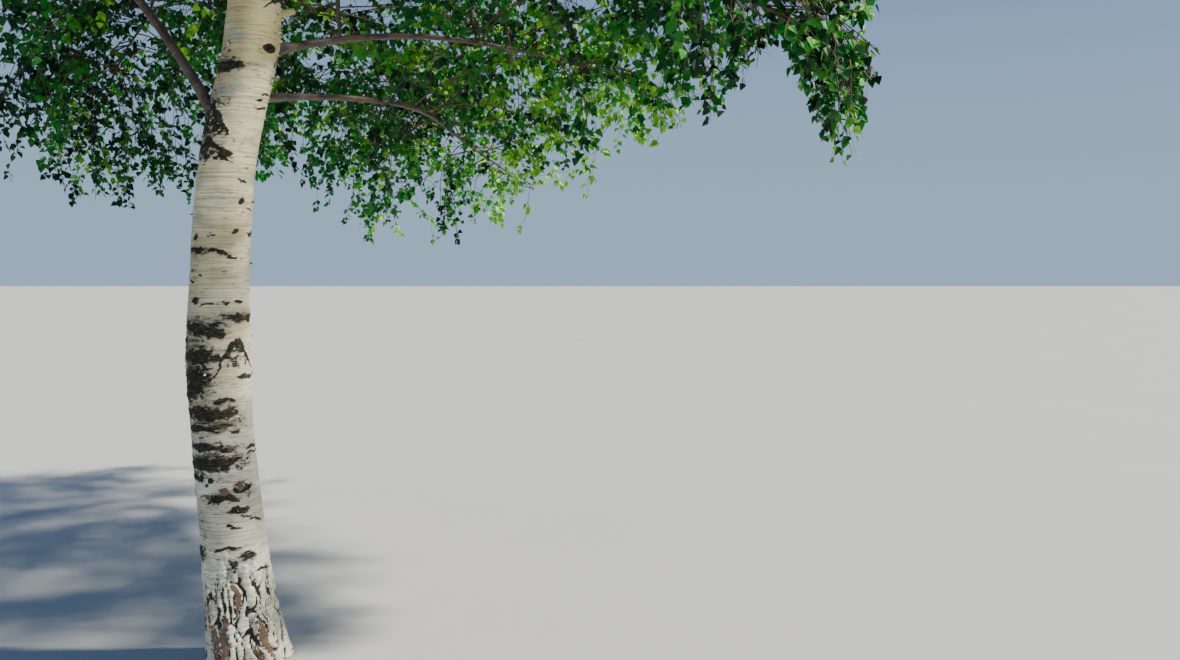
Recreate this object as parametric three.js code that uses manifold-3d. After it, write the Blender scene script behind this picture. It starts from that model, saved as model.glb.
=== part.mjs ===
// A silver birch at the edge of a field: one leaning trunk with a flared foot, boughs that leave it in a
// spiral, and on the outer part of each bough a weeping mass of twigs and leaves.
// Millimetres, +Z up. The origin is the middle of the flat cut at ground level, -Y is the viewer's side.
import * as THREE from "three";
import { mergeVertices } from "three/addons/utils/BufferGeometryUtils.js";
import Module from "manifold-3d";

const wasm = await Module();
wasm.setup();

// The trunk
const TRUNK = {
  height: 9300,
  footRadius: 122, // of the shaft alone, without its flare
  tipRadius: 13,
  taperPower: 0.7,
  sides: 18,
  rings: 26,
  ringPower: 1.5, // above 1, the rings stand closer together near the foot
};
const FLARE = { out: 32, fade: 300, lobes: 5, lobeShare: 0.8, turn: 0.6 };
const SWELLING = { out: 8, height: 1250, spread: 220 }; // an old wound at hip height
// Height, and how far the middle of the trunk stands from its foot to the right (+X) and back (+Y)
const LEAN = [
  [0, 0, 0],
  [450, -46, 8],
  [1100, -92, 20],
  [1600, -78, 24],
  [2000, -34, 20],
  [2450, 72, 10],
  [3200, 150, -10],
  [4400, 230, -30],
  [5900, 340, 20],
  [7600, 380, 90],
  [TRUNK.height, 440, 110],
];

// The limbs: those of the low skirt, which show beside the trunk, and those of the spiral above it.
// A turn is counted from +X towards +Y, and a rise from level, both in degrees. The reach is the whole
// limb's length, bough and mass together, and the droop is how far it bends down on its way.
const SKIRT = [
  { height: 2060, turn: 172, rise: 62, reach: 2900, droop: 62, radius: 20 },
  { height: 2230, turn: 74, rise: 12, reach: 3150, droop: 34, radius: 17 },
  { height: 2400, turn: 48, rise: 18, reach: 2900, droop: 42, radius: 16 },
  { height: 2590, turn: 8, rise: 26, reach: 2350, droop: 62, radius: 17 },
  { height: 2760, turn: 96, rise: 14, reach: 3200, droop: 42, radius: 17 },
  { height: 2930, turn: 126, rise: 14, reach: 3100, droop: 40, radius: 17 },
  { height: 3080, turn: 24, rise: 34, reach: 3050, droop: 58, radius: 20 },
];
const SPIRAL = {
  count: 19,
  firstTurn: 218,
  turn: 137.508, // the golden angle
  height: [3200, 8850], // of the lowest and the highest
  rise: [44, 66],
  droop: [78, 70],
  reach: [3100, 1350],
  reachPower: 1.8,
  radius: [34, 15],
};
const TOP = { turn: 70, rise: 84, reach: 1350, droop: 50, phase: 0.2 };
const BARE = { skirt: 0.375, spiral: 0.125 }; // how much of a limb is bare bough before its mass begins
const LIMB = {
  steps: 8,
  sides: 5,
  tipRadius: 5,
  taperPower: 0.75,
  droopPower: 1.3, // above 1, a limb bends most near its tip
  steepest: -88, // degrees, for what hangs
  sway: 9, // degrees to either side
  waves: 1.6, // of the sway along one limb
  phaseStep: 0.37, // between the sways of one limb and the next
};
const COLLAR = { out: 0.7, fade: 90 }; // a bough is thicker where it joins the trunk

// The masses
const TWIG = {
  count: 5, // on one stem
  sides: 3,
  steps: 2,
  first: 0.1, // where along the stem the first one stands
  spread: [40.6, 69.6], // degrees to the side of the stem
  climb: [-10, 60], // degrees above the stem's own rise
  reach: [0.8, 0.4], // of the stem's length, for the first twig and the last
  reachSpread: [0.85, 1.15],
  fall: [80, 110], // degrees that it bends down along its length
  radius: [7, 4],
  shorter: [1, 0.75, 0.5], // with no room at its full length it is tried again at these shares of it
};
const LEAF = {
  onTwig: 4,
  firstPlace: 0.9, // of the distance between two leaves
  lastPlace: 0.97, // of its stretch of the twig
  length: 580,
  width: 370,
  thickness: 18,
  widest: 0.36, // how far along its rib it is widest
  fold: 30, // how far its sides are folded up
  apart: 250, // between the middles of two leaves
  swing: [35, 95], // degrees to the side of the twig
  fall: [15, 80], // degrees below level
  tries: 4, // ways that it is turned before it is left out
};
const SPACE = {
  middle: 0.58, // how far along the stem its centre stands
  low: 0.16, // and how far below the stem, like the next two a share of the stem's length
  half: 0.74, // half of its length, width and height
  pull: 0.5, // its share in the planes between it and its neighbours
  leastLength: 1350,
};
const FLOOR = {
  skirt: 1680, // no leaf hangs lower than this
  viewer: 2750, // nor lower than this on the side towards the viewer
  from: -0.1, // the viewer's side begins here, as the sine of the angle from +X or -X
  to: 0.5,
};
// Someone who stands beside the tree sees open sky under its crown. What hangs, hangs above this line: a
// bearing to the right of straight back, and the elevation of the crown's lower edge there, in degrees.
const VIEWER = { right: 1371, back: -3583, up: 1600 };
const SKY_LINE = [
  [-50, 0],
  [-33, 2],
  [-21.5, 2],
  [-20, 0.5],
  [-4, 0.5],
  [0.6, 2],
  [3.7, 5.5],
  [8.8, 7],
  [10, 8.5],
  [12.5, 8],
  [13, 5],
  [16.3, 4],
  [17.5, 13],
  [45, 12],
  [90, 0],
];
const MARGIN = 12; // between the spaces of two masses, and between a leaf and a limb
const CLEARANCE = 0.3; // between a limb and what carries it
const SEED = 1009;

const BARK_WHITE = new THREE.MeshStandardMaterial({ color: 0xd9d2c0, roughness: 0.8 });
const BARK_BROWN = new THREE.MeshStandardMaterial({ color: 0x5b463a, roughness: 0.85 });
const LEAF_GREEN = new THREE.MeshStandardMaterial({ color: 0x3f7a1e, roughness: 0.6 });

const DEGREE = Math.PI / 180;
const UP = new THREE.Vector3(0, 0, 1);
const mix = (a, b, t) => a + (b - a) * t;
const within = ([a, b], t) => mix(a, b, t);

// A small seeded generator, so that the tree grows the same way each time.
function seeded(seed) {
  let state = seed >>> 0;
  return () => {
    state = (state + 0x6d2b79f5) >>> 0;
    let t = state;
    t = Math.imul(t ^ (t >>> 15), t | 1);
    t ^= t + Math.imul(t ^ (t >>> 7), t | 61);
    return ((t ^ (t >>> 14)) >>> 0) / 4294967296;
  };
}

function direction(turn, rise) {
  const flat = Math.cos(rise * DEGREE);
  return new THREE.Vector3(
    flat * Math.cos(turn * DEGREE),
    flat * Math.sin(turn * DEGREE),
    Math.sin(rise * DEGREE),
  );
}

// The middle of the trunk at a height: a smooth curve through the stations of LEAN.
function trunkMiddle(height) {
  const z = THREE.MathUtils.clamp(height, 0, TRUNK.height);
  const last = LEAN.length - 1;
  const i = Math.min(LEAN.findLastIndex(([level]) => level <= z), last - 1);
  const span = LEAN[i + 1][0] - LEAN[i][0];
  const t = (z - LEAN[i][0]) / span;
  const slope = (k, axis) => {
    const [from, to] = [LEAN[Math.max(k - 1, 0)], LEAN[Math.min(k + 1, last)]];
    return ((to[axis] - from[axis]) / (to[0] - from[0])) * span;
  };
  const at = (axis) =>
    (2 * t ** 3 - 3 * t ** 2 + 1) * LEAN[i][axis] +
    (t ** 3 - 2 * t ** 2 + t) * slope(i, axis) +
    (3 * t ** 2 - 2 * t ** 3) * LEAN[i + 1][axis] +
    (t ** 3 - t ** 2) * slope(i + 1, axis);
  return new THREE.Vector3(at(1), at(2), z);
}

// Its radius at a height and towards a side.
function trunkRadius(height, angle) {
  const up = Math.min(height / TRUNK.height, 1);
  const shaft = mix(TRUNK.tipRadius, TRUNK.footRadius, (1 - up) ** TRUNK.taperPower);
  const swelling = SWELLING.out * Math.exp(-(((height - SWELLING.height) / SWELLING.spread) ** 2));
  const fade = Math.exp(-height / FLARE.fade);
  const lobe = FLARE.lobeShare * fade * Math.cos(FLARE.lobes * (angle + FLARE.turn));
  return shaft + swelling + FLARE.out * fade * (1 + lobe);
}

// A closed skin wrapped round a unit cylinder: place(share of height, angle, share of radius) puts a point.
function wrapped(sides, rings, place) {
  const skin = new THREE.CylinderGeometry(1, 1, 1, sides, rings);
  const at = skin.getAttribute("position");
  for (let i = 0; i < at.count; i++) {
    const share = Math.hypot(at.getX(i), at.getZ(i));
    const angle = Math.atan2(at.getX(i), at.getZ(i));
    const p = place(at.getY(i) + 0.5, angle, share);
    at.setXYZ(i, p.x, p.y, p.z);
  }
  return skin;
}

function trunkSkin(extra = 0) {
  return wrapped(TRUNK.sides, TRUNK.rings, (t, angle, share) => {
    const height = (TRUNK.height + extra) * t ** TRUNK.ringPower;
    const middle = trunkMiddle(height);
    const r = (trunkRadius(height, angle) + extra) * share;
    return new THREE.Vector3(middle.x + r * Math.cos(angle), middle.y + r * Math.sin(angle), height);
  });
}

// The points of a limb or twig that sets out in one direction, sways and bends down under its weight.
function limbPoints({ start, turn, rise, reach, droop, steps, phase }) {
  const points = [start.clone()];
  for (let i = 0; i < steps; i++) {
    const t = (i + 0.5) / steps;
    const swing = LIMB.sway * Math.sin(2 * Math.PI * (LIMB.waves * t + phase));
    const way = direction(turn + swing, Math.max(rise - droop * t ** LIMB.droopPower, LIMB.steepest));
    points.push(points[i].clone().addScaledVector(way, reach / steps));
  }
  return points;
}

// The rings of a limb: each stands square across the limb's run at one of its points.
function ringsAlong(points, radii) {
  return points.map((point, i) => {
    const before = points[Math.max(i - 1, 0)];
    const after = points[Math.min(i + 1, points.length - 1)];
    const along = after.clone().sub(before).normalize();
    const side = new THREE.Vector3().crossVectors(along, UP).normalize();
    const over = new THREE.Vector3().crossVectors(side, along);
    return { point: point.clone(), along, side, over, radius: radii[i] };
  });
}

// A closed tapering tube through rings.
function tube(rings, sides) {
  return wrapped(sides, rings.length - 1, (t, angle, share) => {
    const { point, side, over, radius } = rings[Math.round(t * (rings.length - 1))];
    return point
      .clone()
      .addScaledVector(side, -radius * share * Math.cos(angle))
      .addScaledVector(over, radius * share * Math.sin(angle));
  });
}

function solid(geometry) {
  const bare = geometry.clone();
  bare.deleteAttribute("normal");
  bare.deleteAttribute("uv");
  const merged = mergeVertices(bare, 1e-3);
  const made = new wasm.Manifold(
    new wasm.Mesh({
      numProp: 3,
      vertProperties: new Float32Array(merged.getAttribute("position").array),
      triVerts: new Uint32Array(merged.index.array),
    }),
  );
  if (made.volume() < 0) throw new Error("a skin faces inwards");
  return made;
}

// A cut can leave a loose scrap: the piece itself is the largest.
const largest = (made) => made.decompose().sort((a, b) => b.volume() - a.volume())[0];

function meshOf(name, made, material) {
  const { vertProperties, triVerts } = made.getMesh();
  const geometry = new THREE.BufferGeometry();
  geometry.setAttribute("position", new THREE.BufferAttribute(new Float32Array(vertProperties), 3));
  geometry.setIndex(new THREE.BufferAttribute(new Uint32Array(triVerts), 1));
  geometry.computeVertexNormals();
  const mesh = new THREE.Mesh(geometry, material);
  mesh.name = name;
  return mesh;
}

// The boughs' plans: first the skirt, then the spiral.
function boughPlans() {
  const skirt = SKIRT.map((plan) => ({ ...plan, bare: BARE.skirt }));
  const spiral = Array.from({ length: SPIRAL.count }, (_, i) => {
    const up = i / (SPIRAL.count - 1);
    return {
      height: within(SPIRAL.height, up),
      turn: SPIRAL.firstTurn + SPIRAL.turn * i,
      rise: within(SPIRAL.rise, up),
      droop: within(SPIRAL.droop, up),
      reach: within(SPIRAL.reach, up ** SPIRAL.reachPower),
      radius: within(SPIRAL.radius, up),
      bare: BARE.spiral,
    };
  });
  return [...skirt, ...spiral];
}

// A limb from the middle of the trunk to its tip: a bare bough, and then the stem of a mass.
function growLimb(plan, index) {
  const start = trunkMiddle(plan.height);
  const points = limbPoints({ ...plan, start, steps: LIMB.steps, phase: index * LIMB.phaseStep });
  const radii = points.map((_, i) => {
    const t = i / LIMB.steps;
    const outside = Math.max(plan.reach * t - trunkRadius(plan.height, 0), 0);
    const collar = 1 + COLLAR.out * Math.exp(-outside / COLLAR.fade);
    return mix(LIMB.tipRadius, plan.radius, (1 - t) ** LIMB.taperPower) * collar;
  });
  return limbFrom(plan, index, points, radii, Math.round(LIMB.steps * plan.bare));
}

// The trunk's own end carries a mass too, with no bough.
function growTop(index) {
  const points = limbPoints({ ...TOP, start: trunkMiddle(TRUNK.height), steps: LIMB.steps });
  const radii = points.map((_, i) => mix(TRUNK.tipRadius, LIMB.tipRadius, i / LIMB.steps));
  return limbFrom(TOP, index, points, radii, 0);
}

function limbFrom(plan, index, points, radii, bareSteps) {
  const stem = points.slice(bareSteps);
  const stemLength = plan.reach * (1 - bareSteps / LIMB.steps);
  return { index, points, radii, bareSteps, stem, stemLength, rings: ringsAlong(points, radii) };
}

// A mass keeps to a ball round its stem, and to its own side of the planes between it and its neighbours.
function spaceOf({ stem, stemLength }) {
  const size = Math.max(stemLength, SPACE.leastLength);
  const centre = stem[Math.round(stem.length * SPACE.middle)].clone();
  centre.z -= SPACE.low * size;
  const sideways = -centre.y / Math.hypot(centre.x, centre.y);
  const floor = mix(FLOOR.skirt, FLOOR.viewer, THREE.MathUtils.smoothstep(sideways, FLOOR.from, FLOOR.to));
  return { centre, half: SPACE.half * size, pull: SPACE.pull * size, floor };
}

function inSpace(point, own, others) {
  if (point.distanceTo(own.centre) > own.half || point.z < own.floor) return false;
  const power = (space) => point.distanceToSquared(space.centre) - space.pull ** 2;
  return others.every((other) => {
    const apart = other.centre.distanceTo(own.centre);
    return (power(other) - power(own)) / (2 * apart) > MARGIN;
  });
}

function overSky({ x, y, z }) {
  const right = x - VIEWER.right;
  const back = y - VIEWER.back;
  const bearing = Math.atan2(right, back) / DEGREE;
  const next = SKY_LINE.findIndex(([at]) => at > bearing);
  if (next < 1) return true;
  const [[from, low], [to, high]] = SKY_LINE.slice(next - 1, next + 1);
  const line = mix(low, high, (bearing - from) / (to - from));
  return Math.atan2(z - VIEWER.up, Math.hypot(right, back)) / DEGREE > line;
}

function clearOfTrunk(point) {
  if (point.z > TRUNK.height + MARGIN) return true;
  const middle = trunkMiddle(point.z);
  const out = Math.hypot(point.x - middle.x, point.y - middle.y);
  return out > trunkRadius(point.z, 0) + 2 * MARGIN;
}

function clearOfBough(point, { points, radii, bareSteps }) {
  const nearest = new THREE.Vector3();
  for (let i = 0; i < bareSteps; i++) {
    new THREE.Line3(points[i], points[i + 1]).closestPointToPoint(point, true, nearest);
    if (nearest.distanceTo(point) < radii[i] + MARGIN) return false;
  }
  return true;
}

// A leaf, or the spray that it stands for: eight faces, widest near its foot, thickest along its rib.
function leafCorners(root, along, side) {
  const face = new THREE.Vector3().crossVectors(side, along).normalize();
  const at = (share, out, lift) =>
    root
      .clone()
      .addScaledVector(along, LEAF.length * share)
      .addScaledVector(side, out)
      .addScaledVector(face, lift);
  return {
    root,
    tip: at(1, 0, 0),
    left: at(LEAF.widest, -LEAF.width / 2, LEAF.fold),
    right: at(LEAF.widest, LEAF.width / 2, LEAF.fold),
    over: at(LEAF.widest, 0, LEAF.thickness / 2),
    under: at(LEAF.widest, 0, -LEAF.thickness / 2),
  };
}

function leafSolid({ root, tip, left, right, over, under }) {
  const shape = new THREE.OctahedronGeometry(1);
  const at = shape.getAttribute("position");
  for (let i = 0; i < at.count; i++) {
    const ends = [
      [at.getX(i), left, right],
      [at.getY(i), root, tip],
      [at.getZ(i), under, over],
    ];
    const [where, low, high] = ends.find(([value]) => Math.abs(value) > 0.5);
    const to = where < 0 ? low : high;
    at.setXYZ(i, to.x, to.y, to.z);
  }
  return solid(shape);
}

// The twigs of a mass, by the rule of a weeping birch: one sets out to one side of the stem, the next to
// the other and the last straight on, and all soon hang.
function twigPlans({ stem, stemLength }, random) {
  const end = stem.length - 1;
  return Array.from({ length: TWIG.count }, (_, i) => {
    const t = mix(TWIG.first, 1, i / (TWIG.count - 1));
    const spot = Math.round(t * end);
    const along = stem[spot].clone().sub(stem[Math.max(spot - 1, 0)]).normalize();
    const side = i === TWIG.count - 1 ? 0 : 1 - 2 * (i % 2);
    return {
      start: stem[spot],
      turn: Math.atan2(along.y, along.x) / DEGREE + side * within(TWIG.spread, random()),
      rise: Math.asin(along.z) / DEGREE + within(TWIG.climb, random()),
      reach: stemLength * within(TWIG.reach, t) * within(TWIG.reachSpread, random()),
      droop: within(TWIG.fall, random()),
      steps: TWIG.steps,
      phase: random(),
    };
  });
}

function growMass(limb, limbs, spaces) {
  const random = seeded(SEED * (limb.index + 1));
  const own = spaces[limb.index];
  const others = spaces.filter((space) => space !== own);
  const free = (p) =>
    inSpace(p, own, others) &&
    overSky(p) &&
    clearOfTrunk(p) &&
    limbs.every((other) => clearOfBough(p, other));

  const [foot, ...rest] = limb.rings.slice(limb.bareSteps);
  const lifted = { ...foot, point: foot.point.clone().addScaledVector(foot.along, CLEARANCE) };
  const parts = [solid(tube([lifted, ...rest], LIMB.sides))];
  const middles = [];

  // The way that a leaf can stand at a place on a twig, or none.
  const leafAt = (root, onTwig, turn, side) => {
    for (let tried = 0; tried < LEAF.tries; tried++) {
      const swing = side * within(LEAF.swing, random());
      const along = direction(turn + swing, -within(LEAF.fall, random()));
      // The blade stands along the twig, so that its root is sunk through one face of it.
      const leaf = leafCorners(root, along, onTwig.clone().projectOnPlane(along).normalize());
      const crowded = middles.some((middle) => middle.distanceTo(leaf.over) < LEAF.apart);
      if (!crowded && [leaf.tip, leaf.left, leaf.right].every(free)) return leaf;
    }
    return undefined;
  };

  for (const twig of twigPlans(limb, random)) {
    const ways = TWIG.shorter.map((share) => limbPoints({ ...twig, reach: twig.reach * share }));
    const points = ways.find((way) => way.slice(1).every(free));
    if (!points) continue;
    const radii = points.map((_, i) => within(TWIG.radius, i / TWIG.steps));
    parts.push(solid(tube(ringsAlong(points, radii), TWIG.sides)));
    for (let k = 0; k < LEAF.onTwig; k++) {
      const place = ((k + LEAF.firstPlace) / LEAF.onTwig) * TWIG.steps;
      const i = Math.min(Math.floor(place), TWIG.steps - 1);
      const root = points[i].clone().lerp(points[i + 1], Math.min(place - i, LEAF.lastPlace));
      const leaf = leafAt(root, points[i + 1].clone().sub(points[i]), twig.turn, 2 * (k % 2) - 1);
      if (!leaf) continue;
      middles.push(leaf.over);
      parts.push(leafSolid(leaf));
    }
  }
  return largest(wasm.Manifold.union(parts).subtract(grownTrunk));
}

const boughs = boughPlans().map(growLimb);
const limbs = [...boughs, growTop(boughs.length)];
const spaces = limbs.map(spaceOf);
const grownTrunk = solid(trunkSkin(CLEARANCE));
const number = (index) => String(index + 1).padStart(2, "0");

const birch = new THREE.Group();
birch.add(meshOf("trunk", solid(trunkSkin()), BARK_WHITE));
for (const bough of boughs) {
  const whole = solid(tube(bough.rings.slice(0, bough.bareSteps + 1), LIMB.sides));
  birch.add(meshOf("bough_" + number(bough.index), largest(whole.subtract(grownTrunk)), BARK_BROWN));
}
for (const limb of limbs) {
  const name = limb.index === boughs.length ? "foliage_top" : "foliage_" + number(limb.index);
  birch.add(meshOf(name, growMass(limb, limbs, spaces), LEAF_GREEN));
}

export default birch;
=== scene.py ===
# A silver birch at the edge of a field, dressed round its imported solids: white bark with black scars on
# a leaning trunk, brown limbs, and hanging twigs with small leaves. Metres, +Z up, the viewer stands at -Y.
import math

import bpy
import numpy as np
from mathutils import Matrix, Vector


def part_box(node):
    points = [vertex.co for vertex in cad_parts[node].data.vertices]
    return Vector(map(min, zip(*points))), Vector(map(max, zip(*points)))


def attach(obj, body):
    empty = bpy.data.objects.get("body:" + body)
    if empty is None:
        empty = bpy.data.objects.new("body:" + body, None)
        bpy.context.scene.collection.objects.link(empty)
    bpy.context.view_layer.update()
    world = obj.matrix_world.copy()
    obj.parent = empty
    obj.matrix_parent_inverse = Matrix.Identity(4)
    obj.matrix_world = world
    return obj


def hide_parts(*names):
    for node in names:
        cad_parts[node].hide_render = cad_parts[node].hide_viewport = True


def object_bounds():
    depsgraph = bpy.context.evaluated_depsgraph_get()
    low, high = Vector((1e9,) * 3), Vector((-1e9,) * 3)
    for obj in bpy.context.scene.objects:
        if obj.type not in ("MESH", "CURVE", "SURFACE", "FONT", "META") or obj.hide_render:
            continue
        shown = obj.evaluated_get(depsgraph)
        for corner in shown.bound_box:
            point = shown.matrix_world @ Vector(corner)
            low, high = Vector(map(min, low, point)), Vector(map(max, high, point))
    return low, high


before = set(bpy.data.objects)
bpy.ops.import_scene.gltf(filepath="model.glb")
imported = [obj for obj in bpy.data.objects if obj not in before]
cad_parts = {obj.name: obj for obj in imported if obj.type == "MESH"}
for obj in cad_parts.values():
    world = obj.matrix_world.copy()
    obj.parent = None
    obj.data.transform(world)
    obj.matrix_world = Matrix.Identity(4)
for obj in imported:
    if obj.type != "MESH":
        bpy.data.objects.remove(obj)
solid_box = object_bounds()

# The view
# From the open field beside the tree, at eye level, with the trunk near the left edge of the picture and
# the lowest boughs reaching across its top.
EYE = (1.371, -3.583, 1.6)
LOOKS_DOWN = 4.175  # degrees
LENS = {"length": 28, "picture": 36}  # of the lens and across the picture, in millimetres
SEES_TO = 200

camera = bpy.data.objects.new("camera", bpy.data.cameras.new("camera"))
camera.data.lens = LENS["length"]
camera.data.sensor_width = LENS["picture"]
camera.data.clip_end = SEES_TO
camera.location = EYE
camera.rotation_euler = (math.radians(90 - LOOKS_DOWN), 0, 0)
bpy.context.scene.collection.objects.link(camera)
bpy.context.scene.camera = camera

# The light
# A high lamp to the viewer's right stands for the sun, with a weak one opposite and a pale blue surround,
# so that the right side of the trunk is bright and warm and its left side is cooler but not dark.
LAMPS = {
    "key": {"energy": 10.4, "color": (1.0, 0.93, 0.80), "rise": 46, "turn": 0, "softness": 3},
    "fill": {"energy": 0.15, "color": (0.90, 0.95, 1.0), "rise": 25, "turn": -120, "softness": 60},
}
# The surround from level to overhead: its colours, and the strength of its light
LEVEL = (0.54, 0.77, 1.0)
OVERHEAD = (0.20, 0.36, 0.80)
SURROUND_STRENGTH = 0.66
OVERHEAD_FROM = (0.02, 0.55)  # the heights between which it turns, on a sphere of radius 1


class Wire:
    """What a node gives out. Numbers take +, - and * in expressions, and each adds its Math node."""

    def __init__(self, tree, socket):
        self.tree = tree
        self.socket = socket

    def maths(self, operation, first, second):
        return self.tree.node("ShaderNodeMath", {"operation": operation}, {0: first, 1: second})

    def __add__(self, other):
        return self.maths("ADD", self, other)

    __radd__ = __add__

    def __sub__(self, other):
        return self.maths("SUBTRACT", self, other)

    def __rsub__(self, other):
        return self.maths("SUBTRACT", other, self)

    def __mul__(self, other):
        return self.maths("MULTIPLY", self, other)

    __rmul__ = __mul__

    def between(self, low, high):
        """0 below low, 1 above high, and smooth between them."""
        limits = {"Value": self, "From Min": low, "From Max": high}
        return self.tree.node("ShaderNodeMapRange", {"interpolation_type": "SMOOTHSTEP"}, limits)


class Tree:
    """A tree of nodes, of a finish or of Geometry Nodes."""

    def __init__(self, nodes):
        self.nodes = nodes

    def node(self, kind, settings=None, values=None, out=0):
        made = self.nodes.nodes.new(kind)
        for name, value in (settings or {}).items():
            setattr(made, name, value)
        for name, value in (values or {}).items():
            self.feed(made.inputs[name], value)
        return Wire(self, made.outputs[out])

    def feed(self, socket, value):
        if isinstance(value, Wire):
            self.nodes.links.new(value.socket, socket)
        elif socket.type == "RGBA":
            socket.default_value = (*value, 1)
        else:
            socket.default_value = value

    def mix(self, share, first, second):
        """A colour from first, where share is 0, to second, where it is 1."""
        return self.node("ShaderNodeMix", {"data_type": "RGBA"}, {0: share, 6: first, 7: second}, out=2)


for name, lamp in LAMPS.items():
    light = bpy.data.lights.new(name, "SUN")
    light.energy = lamp["energy"]
    light.color = lamp["color"]
    light.angle = math.radians(lamp["softness"])
    shown = bpy.data.objects.new(name, light)
    shown.rotation_euler = (math.radians(90 - lamp["rise"]), 0, math.radians(90 + lamp["turn"]))
    bpy.context.scene.collection.objects.link(shown)

world = bpy.data.worlds.new("surround")
world.use_nodes = True
sky = Tree(world.node_tree)
way = sky.node("ShaderNodeTexCoord", out="Generated")
upward = sky.node("ShaderNodeSeparateXYZ", {}, {"Vector": way}, out="Z")
backdrop = world.node_tree.nodes["Background"]
sky.feed(backdrop.inputs["Color"], sky.mix(upward.between(*OVERHEAD_FROM), LEVEL, OVERHEAD))
backdrop.inputs["Strength"].default_value = SURROUND_STRENGTH
bpy.context.scene.world = world

# The floor
# A plain pale sheet under the flat cut of the trunk. It isn't part of the tree.
FLOOR_HALF = 60
FLOOR_BELOW = 0.002


class Finish(Tree):
    """A material: its nodes, and the sockets of its Principled shader by their names."""

    def __init__(self, name):
        self.material = bpy.data.materials.new(name)
        self.material.use_nodes = True
        super().__init__(self.material.node_tree)
        self.place = self.node("ShaderNodeTexCoord", out="Object")

    def grain(self, around, upright, detail=3.0, rough=0.5):
        """Soft noise from 0 to 1 with so many swells to the metre, level and upright."""
        scale = (around, around, upright)
        stretched = self.node("ShaderNodeMapping", {}, {"Vector": self.place, "Scale": scale})
        values = {"Vector": stretched, "Scale": 1.0, "Detail": detail, "Roughness": rough}
        return self.node("ShaderNodeTexNoise", {}, values)

    def field(self, name):
        """A value that the mesh carries at its corners."""
        return self.node("ShaderNodeAttribute", {"attribute_name": name}, out="Fac")

    def relief(self, height, strength, distance):
        values = {"Height": height, "Strength": strength, "Distance": distance}
        return self.node("ShaderNodeBump", {}, values)

    def shade(self, **values):
        shader = self.material.node_tree.nodes["Principled BSDF"]
        for name, value in values.items():
            self.feed(shader.inputs[name.replace("_", " ")], value)
        return self.material


def carry(mesh, name, values, kind="FLOAT"):
    """Gives every corner of a mesh a value of its own, or a vector."""
    held = mesh.attributes.new(name, kind, "POINT").data
    held.foreach_set("value" if kind == "FLOAT" else "vector", np.ravel(values).astype(np.float32))


def mesh_piece(name, corners, faces, material, fields=None, smooth=True):
    """An object at the origin, from its corners and faces, with the values that its finish reads."""
    mesh = bpy.data.meshes.new(name)
    mesh.from_pydata(np.asarray(corners).tolist(), [], faces)
    for field, values in (fields or {}).items():
        carry(mesh, field, values)
    if smooth:
        mesh.shade_smooth()
    else:
        mesh.shade_flat()
    mesh.materials.append(material)
    piece = bpy.data.objects.new(name, mesh)
    bpy.context.scene.collection.objects.link(piece)
    return piece


def pale_floor():
    finish = Finish("pale_floor")
    swirl = finish.grain(0.8, 0.8)
    colour = finish.mix(swirl, (0.36, 0.37, 0.35), (0.40, 0.41, 0.39))
    return finish.shade(Base_Color=colour, Roughness=0.9)


square = [(-1, -1), (1, -1), (1, 1), (-1, 1)]
floor_corners = [(x * FLOOR_HALF, y * FLOOR_HALF, -FLOOR_BELOW) for x, y in square]
mesh_piece("floor", floor_corners, [(0, 1, 2, 3)], pale_floor())

# The trunk
# One stem from a flared foot to a thin tip. Its white bark is paper-thin sheets with fine level lines;
# black cork breaks through it in ragged bands and under each bough, and at the foot it is cracked plates.
TRUNK_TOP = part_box("trunk")[1].z
FOOT_RADIUS = 0.122
TIP_RADIUS = 0.013
TAPER_POWER = 0.7
# The flare of the foot with its lobes, and a slight swelling at breast height
FLARE = {"out": 0.032, "fade": 0.3, "lobes": 5, "share": 0.8, "turn": 0.6}
SWELLING = {"out": 0.008, "height": 1.25, "spread": 0.22}
# Height, and how far the middle of the trunk stands from its foot to the right and back
LEAN = np.array([
    (0, 0, 0),
    (0.45, -0.046, 0.008),
    (1.1, -0.092, 0.02),
    (1.6, -0.078, 0.024),
    (2.0, -0.034, 0.02),
    (2.45, 0.072, 0.01),
    (3.2, 0.15, -0.01),
    (4.4, 0.23, -0.03),
    (5.9, 0.34, 0.02),
    (7.6, 0.38, 0.09),
    (TRUNK_TOP, 0.44, 0.11),
])
FACES_VIEWER = -68.4  # the side of the trunk that the viewer sees straight on, in degrees from +X
LOWER_TOP = 2.75  # where the part that the viewer sees ends, and the plainer one above it starts
LOWER_MESH = {"sides": 150, "rings": 620}
UPPER_MESH = {"sides": 60, "rings": 380}
OVERLAP = 0.006  # of a piece with the one under it
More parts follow.
